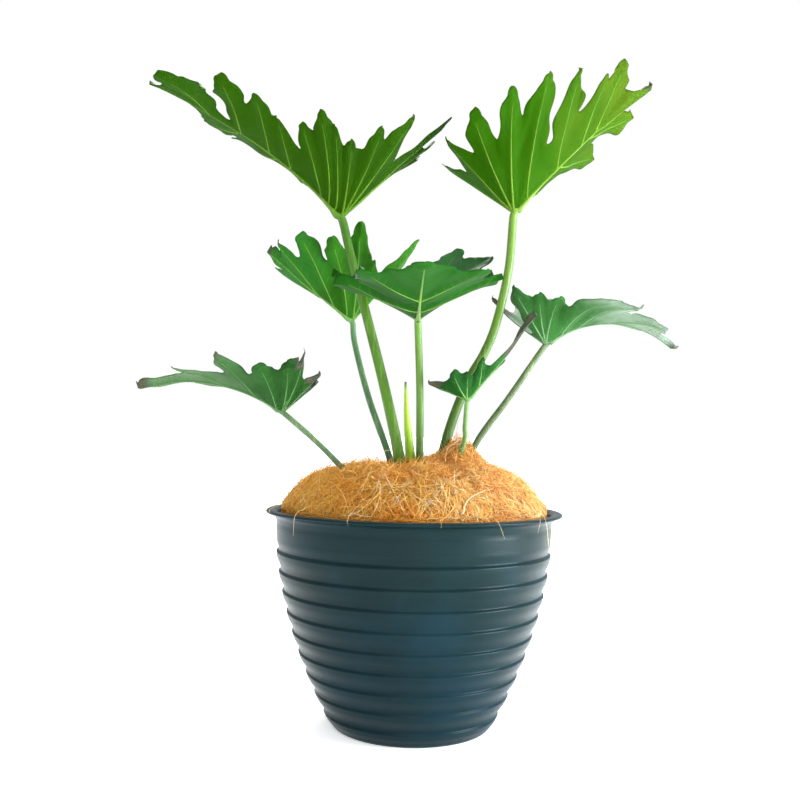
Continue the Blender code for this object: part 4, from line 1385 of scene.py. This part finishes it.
def make_bed():
    """The dense middle of the coir, a little below the loose fibres that cover it."""
    radii = COIR_ROOM * np.sin(0.5 * math.pi * (np.arange(BED_RINGS) + 1) / BED_RINGS)
    turns = math.tau * np.arange(BED_SECTORS) / BED_SECTORS
    radius, turn = np.meshgrid(radii, turns, indexing="ij")
    x = (radius * np.cos(turn)).ravel()
    y = (radius * np.sin(turn)).ravel()
    tufts = smooth_noise(x * BED_TUFTS, y * BED_TUFTS, 8) * MM
    z = coir_height(x, y) - BED_DROP + tufts
    top = float(coir_height(0.0, 0.0)) - BED_DROP
    base = SOIL_TOP + 0.5 * MM
    foot = float(wall_radius(SOIL_TOP)) - WALL_THICKNESS - 1.5 * MM
    points = [(0, 0, top)] + np.column_stack([x, y, z]).tolist()
    points += [(foot * math.cos(a), foot * math.sin(a), base) for a in turns]
    points.append((0, 0, base))
    last = 1 + BED_RINGS * BED_SECTORS
    faces = []
    for i in range(BED_SECTORS):
        j = (i + 1) % BED_SECTORS
        faces.append((0, 1 + i, 1 + j))
        for low in range(1, last, BED_SECTORS):
            high = low + BED_SECTORS
            faces.append((low + i, high + i, high + j, low + j))
        faces.append((last + i, len(points) - 1, last + j))
    bed = add_mesh("coir_bed", points, faces, [bed_skin()])
    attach(bed, "root")


def fibre_mesh(name, lines, radii, shades, depths, skin):
    """Three-sided fibres along many lines at once. lines is fibres x points x 3."""
    count, steps = lines.shape[:2]
    ways = np.gradient(lines, axis=1)
    ways /= np.linalg.norm(ways, axis=2, keepdims=True) + 1e-12
    side = np.cross(ways, (0.0, 0.0, 1.0))
    side /= np.linalg.norm(side, axis=2, keepdims=True) + 1e-9
    over = np.cross(side, ways)
    taper = np.sqrt(np.clip(1 - np.linspace(-1, 1, steps) ** 6, 0.05, 1))
    width = radii[:, None] * taper[None, :]
    rings = []
    for corner in range(3):
        turn = math.tau * corner / 3
        reach = side * math.cos(turn) + over * math.sin(turn)
        rings.append(lines + reach * width[..., None])
    points = np.stack(rings, axis=2).reshape(-1, 3)
    base = (np.arange(count)[:, None] * steps + np.arange(steps - 1)[None, :]) * 3
    faces = []
    for corner in range(3):
        other = (corner + 1) % 3
        corners = [base + corner, base + other, base + 3 + other, base + 3 + corner]
        faces.append(np.stack(corners, -1).reshape(-1, 4))
    quads = np.concatenate(faces).tolist()
    start = np.arange(count) * steps * 3
    end = start + (steps - 1) * 3
    caps = np.column_stack([start + 2, start + 1, start]).tolist()
    caps += np.column_stack([end, end + 1, end + 2]).tolist()
    values = {"shade": np.repeat(shades, steps * 3), "depth": np.repeat(depths.reshape(-1), 3)}
    obj = add_mesh(name, points, quads + caps, [skin], values=values)
    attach(obj, "root")
    return obj


def mound_lines(rng, count, steps, length, bow, height, loose):
    """Curved lines that lie on the mound, each at its own height over it."""
    radius = COIR_ROOM * np.sqrt(rng.uniform(0, 1, count))
    turn = rng.uniform(0, math.tau, count)
    x0 = radius * np.cos(turn)
    y0 = radius * np.sin(turn)
    heading = rng.uniform(0, math.tau, count)
    span = length * np.exp(rng.normal(0, 0.35, count))
    curve = rng.normal(0, bow, count)
    at = np.linspace(-0.5, 0.5, steps)[None, :] * span[:, None]
    angle = heading[:, None] + curve[:, None] * at
    x = x0[:, None] + np.cumsum(np.cos(angle), 1) * span[:, None] / steps
    y = y0[:, None] + np.cumsum(np.sin(angle), 1) * span[:, None] / steps
    x = x - (x.mean(1) - x0)[:, None]
    y = y - (y.mean(1) - y0)[:, None]
    squeeze = np.minimum(1, (COIR_ROOM - 0.5 * MM) / np.maximum(np.hypot(x, y), 1e-9))
    x = x * squeeze
    y = y * squeeze
    rest = rng.uniform(*height, count)[:, None]
    lifts = rng.uniform(-3, loose, count)[:, None]
    ends = np.abs(np.linspace(-1, 1, steps))[None, :] ** 3 * lifts
    waves = rng.uniform(2, 9, count)[:, None]
    shifts = rng.uniform(0, 6, count)[:, None]
    wave = np.sin(np.linspace(0, 1, steps)[None, :] * waves + shifts)
    z = coir_height(x, y) + (rest + ends + 0.8 * wave) * MM
    return np.stack([x, y, z], axis=2)


# The three layers of fibres: the piece's name, how many fibres it has and how many points each,
# their length, how strongly they bow, how high they lie over the mound's surface and how far
# their ends may stand up from there, in millimetres, and their radius in millimetres
LAYERS = (
    ("coir_fibres_deep", 5000, 7, 26 * MM, 44, (-3.0, -0.4), 1, 0.28),
    ("coir_fibres_middle", 5100, 7, 28 * MM, 40, (-1.6, 1.0), 3, 0.24),
    ("coir_fibres_loose", 3800, 9, 36 * MM, 34, (-0.6, 2.8), 9, 0.2),
)


def make_fibres():
    """The loose fibres that cover the mound, in three pieces."""
    skin = coir_skin("coir_fibre")
    for index, (name, count, steps, length, bow, height, loose, radius) in enumerate(LAYERS):
        rng = np.random.default_rng(60 + index)
        lines = mound_lines(rng, count, steps, length, bow, height, loose)
        radii = radius * MM * np.exp(rng.normal(0, 0.3, count))
        shades = np.clip(rng.normal(0.4 + 0.1 * index, 0.26, count), 0, 1)
        under = coir_height(lines[..., 0], lines[..., 1]) - lines[..., 2]
        depths = ease(-1 * MM, 3 * MM, under)
        fibre_mesh(name, lines, radii, shades, depths, skin)
    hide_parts("coir_mulch")


# Fibres that hang over the lip: the way round the pot in degrees, how far they hang in
# millimetres, and how far their end swings round, in degrees
HANGING = (
    (225, 17, -2), (246, 6, 1), (278, 6, 0), (293, 14, 8), (316, 26, 9), (322, 12, -5),
    (206, 20, -4), (30, 15, 5), (75, 22, -8), (118, 12, 4), (160, 24, 7),
)

# Hairs that stand up from the mound: their foot, how high they rise and how far they lean, in
# millimetres
STANDING = (
    (-62, -60, 14, 20), (-44, -70, 9, -16), (-30, -40, 16, 12), (-22, -20, 12, -20),
    (24, -30, 22, 9), (34, -12, 30, 6), (46, -20, 14, 18), (62, -30, 10, 16), (88, -40, 9, 12),
    (-92, -30, 12, -18), (-104, 0, 14, -14), (-98, 10, 20, -9), (20, 30, 18, 10),
    (-40, 40, 15, -12), (70, 50, 14, 10), (4, -66, 9, 14), (52, -62, 8, -14), (-76, 34, 13, 10),
    (98, 12, 12, 12), (-10, 70, 12, -14),
)

# How many points each of them has
STRAY_POINTS = 14


def hanging_line(turn, hang, swing):
    """The bends of a fibre that lies over the lip and hangs down outside."""
    stops = ((88, 0, 0), (106, 0.2, 3), (121, 0.5, 2.5), (127, 0.65, -1), (127, 1, -hang))
    knots = []
    for radius, share, up in stops:
        way = math.radians(turn + swing * share)
        x = radius * math.cos(way) * MM
        y = radius * math.sin(way) * MM
        ground = POT_HEIGHT + 2 * MM if radius > 110 else float(coir_height(x, y))
        knots.append((x, y, ground + up * MM))
    return knots


def standing_line(x, y, rise, lean):
    """The bends of a hair that stands up from the mound and leans over."""
    ground = float(coir_height(x * MM, y * MM))
    knots = []
    for share in (-0.6, 0, 0.5, 1.0):
        over = (x + lean * share * abs(share)) * MM
        knots.append((over, (y - 3 * share) * MM, ground + rise * math.sin(1.9 * share) * MM))
    return knots


def make_strays():
    """The few fibres that leave the mound: over the lip of the pot, and up among the stalks."""
    bends = [hanging_line(*plan) for plan in HANGING] + [standing_line(*plan) for plan in STANDING]
    lines = np.array([even(smooth_line(knots, 2 * MM), STRAY_POINTS) for knots in bends])
    rng = np.random.default_rng(77)
    pale = rng.uniform(0.85, 1.0, len(HANGING))
    mixed = rng.choice([0.0, 0.1, 0.7, 0.9], len(STANDING))
    radii = rng.uniform(0.14, 0.22, len(lines)) * MM
    depths = np.zeros(lines.shape[:2])
    skin = coir_skin("coir_stray")
    fibre_mesh("coir_strays", lines, radii, np.concatenate([pale, mixed]), depths, skin)


# The scene


# A wide soft light above and behind, a cooler one from the right, and a front fill: the name, the
# place, the point it is aimed at, the diameter, the power and the colour
LIGHTS = (
    ("light_above", (0.1, 0.75, 1.7), (0, 0, 0.25), 1.6, 34, (1.0, 0.99, 0.96)),
    ("light_right", (1.35, -0.45, 0.3), (0, 0, 0.1), 0.8, 46, (0.86, 0.95, 1.0)),
    ("light_front", (-0.1, -1.5, 0.8), (0, 0, 0.25), 1.2, 8, (1.0, 1.0, 1.0)),
)

# The sky's brightness, as a sum of one part for each axis: from where to where along the axis it
# changes, and from which value to which
SKY = (("Y", -0.9, 0.5, 0.55, 0.85), ("Z", 0.1, 1.0, 0.0, 0.75), ("X", -0.9, 0.3, -0.35, 0.0))

# The white floor reaches past the view, in metres
FLOOR_RADIUS = 80
FLOOR_SIDES = 96


def make_lights():
    for name, place, aim, size, power, colour in LIGHTS:
        data = bpy.data.lights.new(name, "AREA")
        data.shape = "DISK"
        data.size = size
        data.energy = power
        data.color = colour
        lamp = bpy.data.objects.new(name, data)
        lamp.location = place
        lamp.rotation_mode = "QUATERNION"
        lamp.rotation_quaternion = (Vector(place) - Vector(aim)).to_track_quat("Z", "Y")
        bpy.context.scene.collection.objects.link(lamp)


def make_world():
    """White for the camera, and for the light a sky that is bright behind and above the plant."""
    world = bpy.data.worlds.new("studio")
    bpy.context.scene.world = world
    t = Tree(world, "Background", "World Output")
    split = t.node("SeparateXYZ")
    t.join(t.node("TexCoord").outputs["Generated"], split.inputs[0])
    parts = [t.spread(split.outputs[axis], *amounts) for axis, *amounts in SKY]
    t.join(t.plus(t.plus(parts[0], parts[1]), parts[2]), t.shader.inputs["Strength"])
    t.shader.inputs["Color"].default_value = (0.94, 0.99, 1.0, 1)
    plain = t.node("Background")
    plain.inputs["Color"].default_value = (1, 1, 1, 1)
    plain.inputs["Strength"].default_value = 1.0
    blend = t.node("MixShader")
    t.join(t.node("LightPath").outputs["Is Camera Ray"], blend.inputs["Fac"])
    t.join(t.shader.outputs[0], blend.inputs[1])
    t.join(plain.outputs[0], blend.inputs[2])
    t.join(blend.outputs[0], t.output.inputs["Surface"])


def make_floor():
    """A white disc under the pot, which the export leaves out."""
    turns = [math.tau * i / FLOOR_SIDES for i in range(FLOOR_SIDES)]
    points = [(FLOOR_RADIUS * math.cos(a), FLOOR_RADIUS * math.sin(a), 0) for a in turns]
    floor = add_mesh("floor", points, [tuple(range(FLOOR_SIDES))], [floor_skin()])


def make_camera():
    """The camera that the photo was taken with, as far as it could be worked out."""
    data = bpy.data.cameras.new("camera")
    data.sensor_width = SENSOR_WIDTH
    data.lens = SENSOR_WIDTH * FOCAL_PIXELS / PHOTO_WIDTH
    data.clip_start = 0.01
    camera = bpy.data.objects.new("camera", data)
    bpy.context.scene.collection.objects.link(camera)
    turn = Matrix.Rotation(math.radians(90 + CAMERA_PITCH), 4, "X")
    roll = Matrix.Rotation(math.radians(CAMERA_ROLL), 4, "Z")
    camera.matrix_world = Matrix.Translation(CAMERA_PLACE) @ turn @ roll
    bpy.context.scene.camera = camera


def clear_scene():
    """Removes what a new file holds."""
    for obj in list(bpy.data.objects):
        bpy.data.objects.remove(obj)


def main():
    clear_scene()
    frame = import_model()
    bpy.context.scene.view_settings.view_transform = "Standard"
    make_camera()
    make_world()
    make_lights()
    make_floor()
    make_pot()
    make_bed()
    make_fibres()
    make_strays()
    for node, skin in (("soil", soil_skin()), ("crown", crown_skin())):
        frame["nodes"][node].data.materials.clear()
        frame["nodes"][node].data.materials.append(skin)
    make_rolled_leaf()
    for leaf in LEAVES:
        make_petiole(leaf)
        make_blade(leaf)
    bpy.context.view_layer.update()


main()
